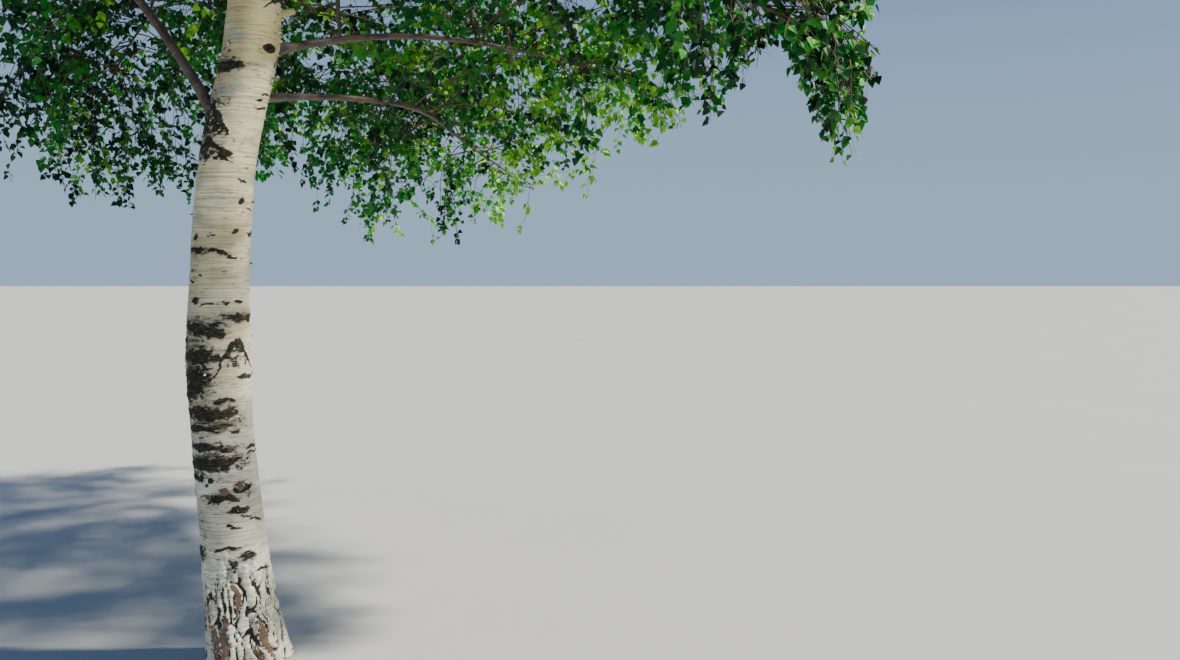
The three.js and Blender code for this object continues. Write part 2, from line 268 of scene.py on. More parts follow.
# Black bands and blots, as the viewer sees them: height, degrees to the right of the middle of the trunk,
# width, height and slope
BANDS = [
    (2.59, 4, 0.12, 0.022, 0.05), (2.34, -50, 0.17, 0.045, -0.05), (2.22, 40, 0.05, 0.010, 0.1),
    (2.245, 62, 0.06, 0.008, 0.1), (2.19, 55, 0.08, 0.012, 0.0), (2.02, -8, 0.05, 0.02, -0.2),
    (1.91, 37, 0.045, 0.010, -0.1), (1.84, 36, 0.02, 0.028, 0.3), (1.81, 64, 0.045, 0.008, 0),
    (1.70, -58, 0.035, 0.012, 0), (1.71, -15, 0.026, 0.008, 0), (1.72, 28, 0.032, 0.022, 0.4),
    (1.71, 73, 0.06, 0.022, 0), (1.65, -55, 0.12, 0.022, -0.1), (1.64, -5, 0.10, 0.014, -0.22),
    (1.625, 24, 0.05, 0.008, -0.1), (1.57, -62, 0.03, 0.012, 0), (1.55, -40, 0.028, 0.014, 0),
    (1.53, -58, 0.035, 0.012, 0), (1.46, -51, 0.04, 0.026, 0), (1.45, 41, 0.06, 0.012, 0),
    (1.45, 16, 0.035, 0.009, 0), (1.44, -20, 0.08, 0.009, 0.05), (1.39, 44, 0.17, 0.030, -0.04),
    (1.345, -34, 0.20, 0.055, -0.12), (1.36, -8, 0.06, 0.022, 0), (1.245, -46, 0.19, 0.066, 0.03),
    (1.235, -5, 0.05, 0.03, 0.1), (1.16, 60, 0.10, 0.018, 0), (1.175, -50, 0.15, 0.06, 0.2),
    (1.13, -46, 0.12, 0.10, 0.4), (1.10, -68, 0.06, 0.07, 0), (1.07, 5, 0.08, 0.018, 0.05),
    (1.02, -26, 0.25, 0.056, -0.03), (1.015, 18, 0.06, 0.020, 0), (0.965, -36, 0.17, 0.028, 0),
    (0.975, 8, 0.06, 0.012, 0), (0.955, 25, 0.04, 0.012, 0), (0.89, -36, 0.19, 0.030, -0.02),
    (0.885, 60, 0.06, 0.012, 0), (0.86, 62, 0.07, 0.010, 0), (0.83, -32, 0.26, 0.056, 0.03),
    (0.77, -66, 0.10, 0.030, 0), (0.76, -30, 0.025, 0.025, 0), (0.745, -40, 0.02, 0.012, 0),
    # the blot at 0.728 m and 30 degrees, round the second knot, is partly painted shade
    (0.728, 30, 0.085, 0.036, -0.15), (0.698, -7, 0.034, 0.020, 0), (0.645, 20, 0.08, 0.022, 0.05),
    (0.62, 30, 0.06, 0.009, -0.25), (0.60, 45, 0.07, 0.009, -0.25), (0.585, 0, 0.05, 0.012, -0.2),
    (0.575, 10, 0.04, 0.010, 0), (0.50, -8, 0.12, 0.012, 0.04), (0.46, 20, 0.07, 0.034, 0.1),
    (0.435, -3, 0.03, 0.045, 0.5), (0.47, -74, 0.08, 0.06, 0), (0.40, 48, 0.06, 0.016, 0),
]
# Dark eyebrows over the scars of lost boughs: height of the peak, degrees to the right, width and fall of
# the arms, and how much of the space under the peak is black
EYEBROWS = [
    (2.185, -62, 0.20, 0.10, 0.8), (2.06, -52, 0.20, 0.07, 0.7), (1.29, 37, 0.17, 0.10, 0.35),
    (0.705, -12, 0.11, 0.024, 0.0),
]
# Round knots: height, degrees to the right, width, and how much cork rings them; the second knot's dark ring
# is partly painted shade
KNOTS = [(0.722, -6, 0.038, 0.45), (0.736, 22, 0.032, 0.62)]
# Rusty patches where the paper is gone: height, degrees to the right, width, height and depth
RUSTY = [(0.700, -40, 0.034, 0.016, 1.0), (0.735, 46, 0.014, 0.012, 0.7)]
# A knot's disc: how uneven its rim is, how far it and its roughness stand out, and how deep its middle and
# the groove under it are
KNOT = {"uneven": 0.12, "raised": 0.017, "rough": 0.002, "dimple": 0.005, "groove": 0.007}
# The dark hollow with its lip: height, degrees to the right, width and height, and relief in and out
HOLLOW = {"place": (2.41, 40), "wide": 0.05, "tall": 0.03, "deep": 0.012, "lip": 0.008}
# Smoky stains of small dark specks round the bands, which on the trunk's left side are partly painted
# shade: height, degrees to the right, width, height, depth
STAINS_AND_PAINTED_SHADE = [
    (2.60, 10, 0.20, 0.05, 0.7), (2.36, -62, 0.12, 0.10, 0.8), (2.34, -25, 0.22, 0.05, 0.7),
    (2.20, -66, 0.16, 0.13, 0.9), (2.17, -30, 0.16, 0.06, 0.6), (2.05, -66, 0.16, 0.14, 0.9),
    (2.00, -30, 0.16, 0.05, 0.6), (1.88, -60, 0.10, 0.10, 0.4), (1.70, -50, 0.14, 0.04, 0.6),
    (1.65, -60, 0.12, 0.06, 0.8), (1.64, 10, 0.16, 0.03, 0.5), (1.56, -60, 0.10, 0.10, 0.6),
    (1.45, -30, 0.22, 0.04, 0.5), (1.39, 30, 0.24, 0.06, 0.8), (1.35, -50, 0.20, 0.08, 1.0),
    (1.27, -60, 0.18, 0.12, 1.0), (1.26, 10, 0.10, 0.07, 0.6), (1.24, 55, 0.10, 0.08, 0.7),
    (1.18, -62, 0.16, 0.14, 1.0), (1.14, -40, 0.14, 0.10, 0.9), (1.08, -64, 0.12, 0.10, 0.9),
    (1.06, 0, 0.18, 0.04, 0.7), (1.01, -28, 0.28, 0.09, 1.0), (0.975, 0, 0.24, 0.06, 0.9),
    (0.93, -60, 0.12, 0.08, 0.7), (0.89, -25, 0.26, 0.05, 0.9), (0.835, -28, 0.30, 0.08, 1.0),
    (0.87, 60, 0.12, 0.08, 0.7), (0.78, -62, 0.14, 0.06, 0.9), (0.77, -15, 0.14, 0.04, 0.7),
    (0.70, 8, 0.20, 0.05, 0.8), (0.68, -38, 0.12, 0.05, 0.7), (0.62, 30, 0.16, 0.04, 0.6),
    (0.56, -60, 0.08, 0.16, 0.7), (0.50, 0, 0.24, 0.03, 0.5), (0.45, 10, 0.18, 0.06, 0.7),
]
STAIN_SPREAD = 0.75  # how far a stain reaches, as a share of its size
# The bands of the sides that the picture doesn't show, and of the trunk above it
BACK_SEED = 41
SEEDED_BANDS = {
    "to_the_metre": 13,
    "wide": (0.03, 0.2),
    "flat": (0.10, 0.28),
    "slope": (-0.1, 0.1),
    "unseen": (100, 262),
    "back": (0.5, LOWER_TOP),
    "above": (2.8, 7.5),
}
# The cracked cork of the foot: where it starts and is complete, the size and relief of its upright plates,
# and the shares of them that have lost their paper and show brown inner bark or dark cork
FOOT = {"top": 0.60, "full": 0.24, "wide": 0.030, "tall": 0.15, "radius": 0.15, "seed": 31}
PLATE = {"gap": 0.20, "deep": 0.010, "raised": 0.004, "rough": 0.0014, "brown": 0.27, "dark": 0.22}
# The heights between which the paper turns from cold white to cream, and the white bark of the trunk to
# the red-brown of its young top
CREAM_FROM = (0.7, 2.0)
YOUNG_FROM = (5.2, 8.6)
SMOOTH_TOP = 2.5  # the relief fades out over this much of the trunk's top
# The swelling where a bough leaves: a share of the bough's radius, and its spread to the side and upward
JOINT = {"raised": 0.45, "aside": 0.06, "upward": 0.07}
BROW_NEAR = 0.25  # the arms of an eyebrow lie within this height of it
# Black cork: how deep in a mark it is at its edge and in full, and how far it and its roughness stand out
CORK = {"edge": (0.45, 0.7), "raised": 0.0022, "rough": 0.0016}
# Soft noise over the bark. Each layer has its size, its cells round the trunk, the height of a cell and
# its seed: the ragged edges of marks, the swells of the bark, and the waves of the gaps between the plates
WOBBLE = [(0.6, 46, 0.012, 3), (0.4, 90, 0.006, 4)]
SWELLS = [(0.0012, 14, 0.10, 6), (0.0006, 30, 0.012, 8)]
PLATE_WAVES = [(0.11, 14, 0.06, 32), (0.045, 44, 0.018, 33)]
# How far the marks stray from their plain outlines, in metres to the side and upward, and the cells round
# the trunk, height of a cell and seed of each layer
STRAY = [(0.011, 0.008, 26, 0.035, 21), (0.005, 0.003, 70, 0.012, 23)]


def smooth(value, low=0.0, high=1.0):
    """0 below low, 1 above high, and smooth between them."""
    t = np.clip((value - low) / (high - low), 0, 1)
    return t * t * (3 - 2 * t)


def mix(first, second, share):
    return first + (second - first) * share


def trunk_middle(height):
    """The middle of the trunk at each height: a smooth curve through the stations of LEAN."""
    z = np.clip(height, 0, TRUNK_TOP)
    last = len(LEAN) - 1
    i = np.clip(np.searchsorted(LEAN[:, 0], z, side="right") - 1, 0, last - 1)
    span = LEAN[i + 1, 0] - LEAN[i, 0]
    t = ((z - LEAN[i, 0]) / span)[..., None]

    def slope(k):
        before, after = LEAN[np.maximum(k - 1, 0)], LEAN[np.minimum(k + 1, last)]
        return (after[..., 1:] - before[..., 1:]) / (after[..., :1] - before[..., :1]) * span[..., None]

    level = (
        (2 * t**3 - 3 * t**2 + 1) * LEAN[i, 1:]
        + (t**3 - 2 * t**2 + t) * slope(i)
        + (3 * t**2 - 2 * t**3) * LEAN[i + 1, 1:]
        + (t**3 - t**2) * slope(i + 1)
    )
    return np.concatenate([level, z[..., None]], axis=-1)


def trunk_radius(height, angle):
    up = np.minimum(height / TRUNK_TOP, 1)
    shaft = mix(TIP_RADIUS, FOOT_RADIUS, (1 - up) ** TAPER_POWER)
    swelling = SWELLING["out"] * np.exp(-(((height - SWELLING["height"]) / SWELLING["spread"]) ** 2))
    fade = np.exp(-height / FLARE["fade"])
    lobe = FLARE["share"] * fade * np.cos(FLARE["lobes"] * (angle + FLARE["turn"]))
    return shaft + swelling + FLARE["out"] * fade * (1 + lobe)


def cell_noise(angle, height, around, tall, seed):
    """Smooth random values from -1 to 1, with so many cells round the trunk, each so tall."""
    across = angle / (2 * math.pi) * around
    up = height / tall
    values = np.random.default_rng(seed).uniform(-1, 1, (int(up.max()) + 3, around))
    i, j = np.floor(up).astype(int), np.floor(across).astype(int)
    s, t = smooth(up - i), smooth(across - j)
    low = mix(values[i, j % around], values[i, (j + 1) % around], t)
    high = mix(values[i + 1, j % around], values[i + 1, (j + 1) % around], t)
    return mix(low, high, s)


def layered(angle, height, layers):
    return sum(size * cell_noise(angle, height, *cells) for size, *cells in layers)


def from_mark(height, angle, mark_height, mark_turn):
    """How far each point lies to the right of a mark and above it, along the bark."""
    turn = np.radians(FACES_VIEWER + mark_turn)
    around = (angle - turn + math.pi) % (2 * math.pi) - math.pi
    return around * trunk_radius(height, angle), height - mark_height


def band_scar(height, angle, wobble, mark):
    """1 in the middle of a black band, 0.5 at its edge and 0 outside it."""
    mark_height, mark_turn, wide, tall, slope = mark
    right, up = from_mark(height, angle, mark_height, mark_turn)
    up = up - slope * right
    away = (np.abs(right / (wide / 2)) ** 2.4 + np.abs(up / (tall / 2)) ** 2) ** 0.45
    return np.clip((1.7 - away + 0.45 * wobble) / 1.4, 0, 1)


def eyebrow_scar(height, angle, wobble, mark):
    """The same for an eyebrow: two arms that fall from a peak, and black cork in the space under it."""
    peak, mark_turn, wide, fall, filled = mark
    right, up = from_mark(height, angle, peak, mark_turn)
    out = np.abs(right) / (wide / 2)
    under = -fall * out**1.2 - up
    thick = 0.020 * (1.3 - out) * (1 + 0.5 * wobble)
    arms = (1.7 - np.abs(under) / np.maximum(thick, 1e-4)) / 1.4 * (out < 1.25)
    depth = smooth(under, -0.01, 0.01) * smooth(fall * 1.2 + up, 0, 0.03) * smooth(1.1 - out, 0, 0.4)
    inside = filled * depth * (0.95 + 0.6 * wobble)
    return np.clip(np.maximum(arms, inside) + 0.3 * wobble, 0, 1) * (out < 1.3)


def stain(height, angle, mark):
    """How deep a smoky stain is: most in its middle, and fading all round."""
    mark_height, mark_turn, wide, tall, deep = mark
    right, up = from_mark(height, angle, mark_height, mark_turn)
    away = (right / (wide * STAIN_SPREAD)) ** 2 + (up / (tall * STAIN_SPREAD)) ** 2
    return deep * np.exp(-(away**1.3))


def bough_joints(plans):
    """Where each bough comes out of the trunk: height, and degrees to the right of the viewer's side."""
    joints = []
    for plan in plans:
        thick = float(trunk_radius(np.array(plan["height"]), 0.0))
        out = plan["height"] + thick * math.tan(math.radians(plan["rise"]))
        joints.append((out, plan["turn"] - FACES_VIEWER, plan["radius"]))
    return joints


def seeded_bands(low, high, unseen_only, seed):
    """Bands for the sides of the trunk that the picture doesn't show."""
    random = np.random.default_rng(seed)
    bands = []
    for _ in range(int((high - low) * SEEDED_BANDS["to_the_metre"])):
        height = random.uniform(low, high)
        turn = random.uniform(*(SEEDED_BANDS["unseen"] if unseen_only else (0, 360)))
        wide = random.uniform(*SEEDED_BANDS["wide"]) * (1 - 0.7 * height / TRUNK_TOP)
        tall = wide * random.uniform(*SEEDED_BANDS["flat"])
        bands.append((height, turn, wide, tall, random.uniform(*SEEDED_BANDS["slope"])))
    return bands


def stains_round(bands):
    """A stain round every second band."""
    return [(height, turn, 1.3 * wide, 2.2 * tall, 0.8) for height, turn, wide, tall, _ in bands[::2]]


def foot_plates(height, angle):
    """Upright plates: how far each point is from the gap round its plate, and its plate's own share."""
    random = np.random.default_rng(FOOT["seed"])
    columns = int(2 * math.pi * FOOT["radius"] / FOOT["wide"])
    rows = int((FOOT["top"] + 0.3) / FOOT["tall"])
    column, row = (grid.ravel() for grid in np.meshgrid(np.arange(columns), np.arange(rows)))
    turns = (column + random.uniform(0, 1, column.size)) * 2 * math.pi / columns
    levels = (row + random.uniform(0, 1.2, column.size)) * FOOT["tall"] - 0.15
    shares = random.random(column.size)
    nearest = np.full(height.shape, 9.0)
    second = np.full(height.shape, 9.0)
    share = np.zeros(height.shape)
    for turn, level, own in zip(turns, levels, shares):
        around = (angle - turn + math.pi) % (2 * math.pi) - math.pi
        away = np.hypot(around * FOOT["radius"] / FOOT["wide"], (height - level) / FOOT["tall"])
        second = np.minimum(second, np.maximum(nearest, away))
        share = np.where(away < nearest, own, share)
        nearest = np.minimum(nearest, away)
    return second - nearest, share


def foot_skin(height, angle, wobble):
    """The foot's cork, the more the lower: its cracks, rust, dark plates and relief."""
    at_foot = smooth(FOOT["top"] - height, 0, FOOT["top"] - FOOT["full"])
    at_foot *= smooth(0.45 + 0.6 * cell_noise(angle, height, 16, 0.16, 9) + at_foot, 0.5, 0.95)
    bent = angle + layered(angle, height, PLATE_WAVES)
    lifted = height + 0.025 * cell_noise(angle, height, 22, 0.05, 34)
    inside, share = foot_plates(lifted, bent)
    gap = PLATE["gap"] * (0.25 + 0.75 * at_foot) * (1 + 0.7 * cell_noise(angle, height, 20, 0.07, 35))
    whole_plate = smooth(inside, gap, 1.6 * gap)
    brown = at_foot * (share < PLATE["brown"])
    dark = at_foot * (share > 1 - PLATE["dark"])
    crack = at_foot * (1 - smooth(inside, 0.3 * gap, gap))
    rusty_crack = 0.55 * crack * smooth(cell_noise(angle, height, 18, 0.07, 10))
    rust = np.maximum(brown * (0.35 + 0.5 * whole_plate), rusty_crack)
    smoke = dark * (0.4 + 0.5 * whole_plate)
    relief = PLATE["raised"] * (at_foot * whole_plate * (share > PLATE["brown"]) - 0.6 * brown)
    relief += PLATE["rough"] * at_foot * wobble - PLATE["deep"] * crack
    return crack, rust, smoke, relief


def joint_brow(out, turn, thick):
    """The eyebrow over a bough's joint: the thicker the bough, the larger it is."""
    return out + 1.4 * thick, turn, 0.10 + 3 * thick, 0.06 + 1.6 * thick, 0.75


def trunk_skin(low, high, sides, rings, joints, bands, stains_and_painted_shade, eyebrows, knots):
    """A stretch of the trunk: its corners with the relief of the bark, and the fields that it reads."""
    turns = np.arange(sides) * 2 * math.pi / sides
    height, angle = np.meshgrid(np.linspace(low, high, rings), turns, indexing="ij")
    wobble = layered(angle, height, WOBBLE)
    scar, relief, rust, smoke, crack = np.zeros((5, *height.shape))
    stray_angle, stray_height = angle.copy(), height.copy()
    for aside, up, around, tall, seed in STRAY:
        stray_angle += aside / FOOT_RADIUS * cell_noise(angle, height, around, tall, seed)
        stray_height += up * cell_noise(angle, height, around, tall, seed + 1)

    def blacken(middle, reach, shape, mark):
        near = np.abs(height[:, 0] - middle) < reach
        found = shape(stray_height[near], stray_angle[near], wobble[near], mark)
        scar[near] = np.maximum(scar[near], found)

    for mark in bands:
        blacken(mark[0], mark[3] * 1.5 + mark[2], band_scar, mark)
    for mark in eyebrows:
        blacken(mark[0], BROW_NEAR, eyebrow_scar, mark)
    for out, turn, thick in joints:
        blacken(out, BROW_NEAR, eyebrow_scar, joint_brow(out, turn, thick))
        right, up = from_mark(height, angle, out, turn)
        spread = (right / JOINT["aside"]) ** 2 + (up / JOINT["upward"]) ** 2
        relief += thick * JOINT["raised"] * np.exp(-spread)
    # Smoky stains; on the lower trunk's left side they are partly painted shade
    for mark in stains_and_painted_shade:
        near = np.abs(height[:, 0] - mark[0]) < mark[3] * 2
        smoke[near] = np.maximum(smoke[near], stain(stray_height[near], stray_angle[near], mark))
    for mark in RUSTY:
        rust = np.maximum(rust, stain(stray_height, stray_angle, mark))
    for knot_height, turn, wide, ringed in knots:
        right, up = from_mark(height, angle, knot_height, turn)
        away = np.hypot(right, up) / (wide / 2) * (1 + KNOT["uneven"] * wobble)
        under = np.hypot(right / wide, (up + 0.55 * wide) / (0.45 * wide))
        relief += KNOT["raised"] * np.exp(-(away**2)) - KNOT["dimple"] * np.exp(-((away / 0.35) ** 2))
        relief += KNOT["rough"] * wobble * (away < 1.2) - KNOT["groove"] * np.exp(-(under**2))
        scar = np.maximum(scar, ringed * np.clip(1.1 - np.abs(away - 1.05) / 0.5, 0, 1))
        # Painted shadow: the bark just below each knot, over its groove, is blackened
        scar = np.maximum(scar, 0.8 * smooth(1.3 - under, 0, 0.8))
        scar *= 1 - smooth(0.95 - away, 0, 0.2)
        rust = np.maximum(rust, 0.75 * smooth(1.1 - away, 0, 0.4))
    if low < HOLLOW["place"][0] < high:
        right, up = from_mark(height, angle, *HOLLOW["place"])
        away = np.hypot(right / (HOLLOW["wide"] / 2), up / (HOLLOW["tall"] / 2))
        relief += HOLLOW["lip"] * np.exp(-((away - 1.3) ** 2) / 0.2) - HOLLOW["deep"] * np.exp(-(away**2))
        scar = np.maximum(scar, smooth(1.5 - away, 0, 0.6))
    cork = smooth(scar, *CORK["edge"])
    relief += cork * (CORK["raised"] + CORK["rough"] * cell_noise(angle, height, 110, 0.009, 5))
    relief += layered(angle, height, SWELLS)

    low_rows = height[:, 0] < FOOT["top"]
    if low_rows.any():
        foot = foot_skin(height[low_rows], angle[low_rows], wobble[low_rows])
        crack[low_rows] = foot[0]
        rust[low_rows] = np.maximum(rust[low_rows], foot[1])
        smoke[low_rows] = np.maximum(smoke[low_rows], foot[2])
        relief[low_rows] += foot[3]

    radius = trunk_radius(height, angle) + relief * smooth(TRUNK_TOP - height, 0, SMOOTH_TOP)
    middle = trunk_middle(height)
    corners = middle + radius[..., None] * np.stack([np.cos(angle), np.sin(angle), 0 * angle], -1)
    corners[..., 2] = height
    young = smooth(height, *YOUNG_FROM)
    return corners, {"scar": scar, "smoke": smoke, "crack": crack, "rust": rust, "young": young}


def skin_faces(rings, sides):
    """The faces of a closed tube of corners, ring after ring, with a lid at each end."""
    ring = np.arange(rings - 1)[:, None] * sides
    side = np.arange(sides)[None]
    ahead = (side + 1) % sides
    quads = np.stack([ring + side, ring + ahead, ring + sides + ahead, ring + sides + side], -1)
    end = (rings - 1) * sides
    return [*quads.reshape(-1, 4).tolist(), list(range(sides))[::-1], list(range(end, end + sides))]


def white_bark():
    finish = Finish("white_bark")
    scar = finish.field("scar")
    crack = finish.field("crack")
    rust = finish.field("rust")
    young = finish.field("young")
    smoke = finish.field("smoke")

    up = finish.node("ShaderNodeSeparateXYZ", {}, {"Vector": finish.place}, out="Z").between(*CREAM_FROM)
    # Large tan patches: partly the bark's own tan, and partly painted shade in place of dappled shade
    tan_and_shade_patches = finish.grain(2.2, 3.5).between(0.40, 0.60)
    pale = finish.mix(up, (0.86, 0.83, 0.68), (0.87, 0.79, 0.50))
    tan_and_painted_shade = finish.mix(up, (0.56, 0.54, 0.40), (0.51, 0.44, 0.20))
    paper = finish.mix(tan_and_shade_patches, pale, tan_and_painted_shade)
    cool = finish.grain(6, 13, 4.0).between(0.50, 0.68)
    paper = finish.mix(cool * 0.7, paper, (0.34, 0.38, 0.30))
    peeled = finish.grain(6, 34, 5.0, 0.6).between(0.57, 0.66)
    paper = finish.mix(peeled * 0.5, paper, (0.50, 0.36, 0.18))
    lines = finish.grain(5, 230, 4.0, 0.62).between(0.48, 0.64)
    paper = finish.mix(lines * 0.62, paper, (0.25, 0.18, 0.11))
    dashes = finish.grain(24, 170, 3.0, 0.6).between(0.63, 0.68)
    paper = finish.mix(dashes * 0.85, paper, (0.07, 0.05, 0.035))
    stems = finish.grain(20, 70, 4.0).between(0.4, 0.6)
    red_bark = finish.mix(stems, (0.075, 0.032, 0.020), (0.16, 0.085, 0.055))
    paper = finish.mix(young, paper, red_bark)

    speckle = finish.grain(34, 80, 7.0, 0.72)
    # A dark haze over the stains and the foot's dark plates, which is partly painted shade on the trunk's
    # left side
    haze_and_painted_shade = (smoke + (speckle - 0.5) * 1.3).between(0.35, 1.15)
    specks = (smoke + (speckle - 0.5) * 3.2).between(0.78, 0.98)
    paper = finish.mix(haze_and_painted_shade * 0.7, paper, (0.20, 0.185, 0.135))
    paper = finish.mix(specks * 0.92, paper, (0.030, 0.027, 0.020))

    ragged = finish.grain(42, 110, 6.0, 0.68)
    torn = scar + (ragged - 0.5) * 1.5
    fringe = torn.between(0.26, 0.52)
    black = torn.between(0.50, 0.60)
    cork_grain = finish.grain(60, 160, 4.0)
    cork = finish.mix(cork_grain.between(0.42, 0.68), (0.012, 0.013, 0.009), (0.062, 0.058, 0.036))
    colour = finish.mix(fringe * 0.6, paper, (0.21, 0.15, 0.10))
    colour = finish.mix(black, colour, cork)
    fibres = finish.grain(55, 26, 6.0, 0.7).between(0.36, 0.62)
    rusty = finish.mix(fibres, (0.060, 0.028, 0.014), (0.17, 0.078, 0.030))
    colour = finish.mix((rust + (ragged - 0.5) * 1.2).between(0.36, 0.60) * 0.92, colour, rusty)
    deep = (crack + (ragged - 0.5) * 0.8).between(0.36, 0.66)
    colour = finish.mix(deep, colour, (0.026, 0.018, 0.012))

    raised = ragged * 0.5 + cork_grain * black * 0.8 + dashes * 0.3 + specks * 0.2
    normal = finish.relief(raised - lines * 0.3 - peeled * 0.4, 0.6, 0.004)
    rough = 0.56 + black * 0.34 + fringe * 0.06
    return finish.shade(Base_Color=colour, Roughness=rough, Normal=normal, Specular_IOR_Level=0.35)


# The limbs' plans, which the trunk needs for the scars round their joints: those of the low skirt and
# those of the spiral above it. A turn is counted from +X towards +Y and a rise from level, in degrees.
SKIRT = [
    {"height": 2.06, "turn": 172, "rise": 62, "reach": 2.90, "droop": 62, "radius": 0.020},
    {"height": 2.23, "turn": 74, "rise": 12, "reach": 3.15, "droop": 34, "radius": 0.017},
    {"height": 2.40, "turn": 48, "rise": 18, "reach": 2.90, "droop": 42, "radius": 0.016},
    {"height": 2.59, "turn": 8, "rise": 26, "reach": 2.35, "droop": 62, "radius": 0.017},
    {"height": 2.76, "turn": 96, "rise": 14, "reach": 3.20, "droop": 42, "radius": 0.017},
    {"height": 2.93, "turn": 126, "rise": 14, "reach": 3.10, "droop": 40, "radius": 0.017},
    {"height": 3.08, "turn": 24, "rise": 34, "reach": 3.05, "droop": 58, "radius": 0.020},
]
SPIRAL = {
    "count": 19,
    "first_turn": 218,
    "turn": 137.508,
    "height": (3.2, 8.85),
    "rise": (44, 66),
    "droop": (78, 70),
    "reach": (3.1, 1.35),
    "reach_power": 1.8,
    "radius": (0.034, 0.015),
}
SKIRT_BARE = 0.375
SPIRAL_BARE = 0.125


def limb_plans():
    plans = [{**plan, "bare": SKIRT_BARE} for plan in SKIRT]
    for i in range(SPIRAL["count"]):
        up = i / (SPIRAL["count"] - 1)
        plans.append({
            "height": mix(*SPIRAL["height"], up),
            "turn": SPIRAL["first_turn"] + SPIRAL["turn"] * i,
            "rise": mix(*SPIRAL["rise"], up),
            "droop": mix(*SPIRAL["droop"], up),
            "reach": mix(*SPIRAL["reach"], up ** SPIRAL["reach_power"]),
            "radius": mix(*SPIRAL["radius"], up),
            "bare": SPIRAL_BARE,
        })
    return plans


plans = limb_plans()
joints = bough_joints(plans)
bark = white_bark()
back_bands = seeded_bands(*SEEDED_BANDS["back"], True, BACK_SEED)
high_bands = seeded_bands(*SEEDED_BANDS["above"], False, BACK_SEED + 1)
stretches = {
    "trunk_lower": {
        "low": 0.0, "high": LOWER_TOP, **LOWER_MESH, "bands": BANDS + back_bands,
        "stains_and_painted_shade": STAINS_AND_PAINTED_SHADE + stains_round(back_bands), "eyebrows": EYEBROWS, "knots": KNOTS,
    },
    "trunk_upper": {
        "low": LOWER_TOP - OVERLAP, "high": TRUNK_TOP, **UPPER_MESH, "bands": high_bands,
        "stains_and_painted_shade": stains_round(high_bands), "eyebrows": [], "knots": [],
    },
}
for name, stretch_plan in stretches.items():
    corners, fields = trunk_skin(**stretch_plan, joints=joints)
    faces = skin_faces(stretch_plan["rings"], stretch_plan["sides"])
    stretch = mesh_piece(name, corners.reshape(-1, 3), faces, bark, fields)
    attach(stretch, "root")
    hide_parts("trunk")

# The loose paper
# Thin scraps of the outermost bark that have come away at one upright edge and roll outward, white outside
# and tan inside. They hang most thickly on the right of the upper trunk, as the viewer sees it.
CURLS = {"count": 80, "height": (0.5, 2.72), "long": (0.008, 0.026), "tall": (0.004, 0.014)}
CURLS_RIGHT = {"count": 22, "height": (2.28, 2.66), "turn": (48, 88)}
CURL_TURNS = (60, 230)  # how far a scrap rolls over its length, in degrees
CURL_HALF = 0.0004  # half of its thickness
CURL_ROOT = 0.001  # how deep in the bark its rooted edge is
# Toward its free edge a scrap narrows and sags, by shares of its height, and it is torn unevenly
CURL_SHAPE = {"narrows": 0.6, "sags": 0.25, "torn": (0.7, 1.2)}
CURL_STEPS = 9
CURL_SEED = 77


def curl_corners(height, turn, long, tall, rolls, hand, random):
    """Both faces of a scrap: rows of corners from its rooted edge to its free edge."""
    angle = math.radians(FACES_VIEWER + turn)
    out = np.array([math.cos(angle), math.sin(angle), 0])
    along = hand * np.array([-math.sin(angle), math.cos(angle), 0])
    place = np.linspace(0, 1, CURL_STEPS)
    bend = np.radians(3 + rolls * place**2.2)
    step = long / (CURL_STEPS - 1)
    level = np.cumsum(step * np.stack([np.cos(bend), np.sin(bend)], -1), axis=0)
    radius = float(trunk_radius(np.array(height), np.array(angle)))
    root = trunk_middle(np.array(height)) + out * (radius - CURL_ROOT)
    line = root + level[:, :1] * along + level[:, 1:] * out
    face = np.cos(bend)[:, None] * out - np.sin(bend)[:, None] * along
    torn = random.uniform(*CURL_SHAPE["torn"], CURL_STEPS)
    half_tall = tall / 2 * (1 - CURL_SHAPE["narrows"] * place**2) * torn
    sag = -CURL_SHAPE["sags"] * tall * place
    rows = []
    for side, up in ((1, -1), (1, 1), (-1, 1), (-1, -1)):
        raised = np.stack([0 * sag, 0 * sag, up * half_tall + sag], -1)
        rows.append(line + side * CURL_HALF * face + raised)
    return np.stack(rows, axis=1)


def loose_paper():
    finish = Finish("loose_paper")
    inner = finish.field("inner")
    lines = finish.grain(12, 260, 3.0, 0.6).between(0.48, 0.68)
    outside = finish.mix(lines * 0.6, (0.82, 0.75, 0.54), (0.26, 0.19, 0.13))
    inside = finish.mix(lines * 0.5, (0.32, 0.19, 0.10), (0.16, 0.08, 0.045))
    normal = finish.relief(lines, 0.4, 0.001)
    return finish.shade(Base_Color=finish.mix(inner, outside, inside), Roughness=0.6, Normal=normal)


random = np.random.default_rng(CURL_SEED)
one_scrap = skin_faces(CURL_STEPS, 4)
scraps, scrap_faces = [], []
for i in range(CURLS["count"] + CURLS_RIGHT["count"]):
    on_right = i >= CURLS["count"]
    height = random.uniform(*(CURLS_RIGHT if on_right else CURLS)["height"])
    turn = random.uniform(*CURLS_RIGHT["turn"]) if on_right else random.uniform(0, 360)
    scrap = curl_corners(height, turn, random.uniform(*CURLS["long"]), random.uniform(*CURLS["tall"]),
                         random.uniform(*CURL_TURNS), random.choice([-1, 1]), random)
    scrap_faces += [[corner + i * 4 * CURL_STEPS for corner in face] for face in one_scrap]
    scraps.append(scrap.reshape(-1, 3))
inner = {"inner": np.tile([0.0, 0.0, 1.0, 1.0], len(scraps) * CURL_STEPS)}
curls = mesh_piece("loose_paper", np.concatenate(scraps), scrap_faces, loose_paper(), inner, smooth=False)
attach(curls, "root")
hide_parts("trunk")

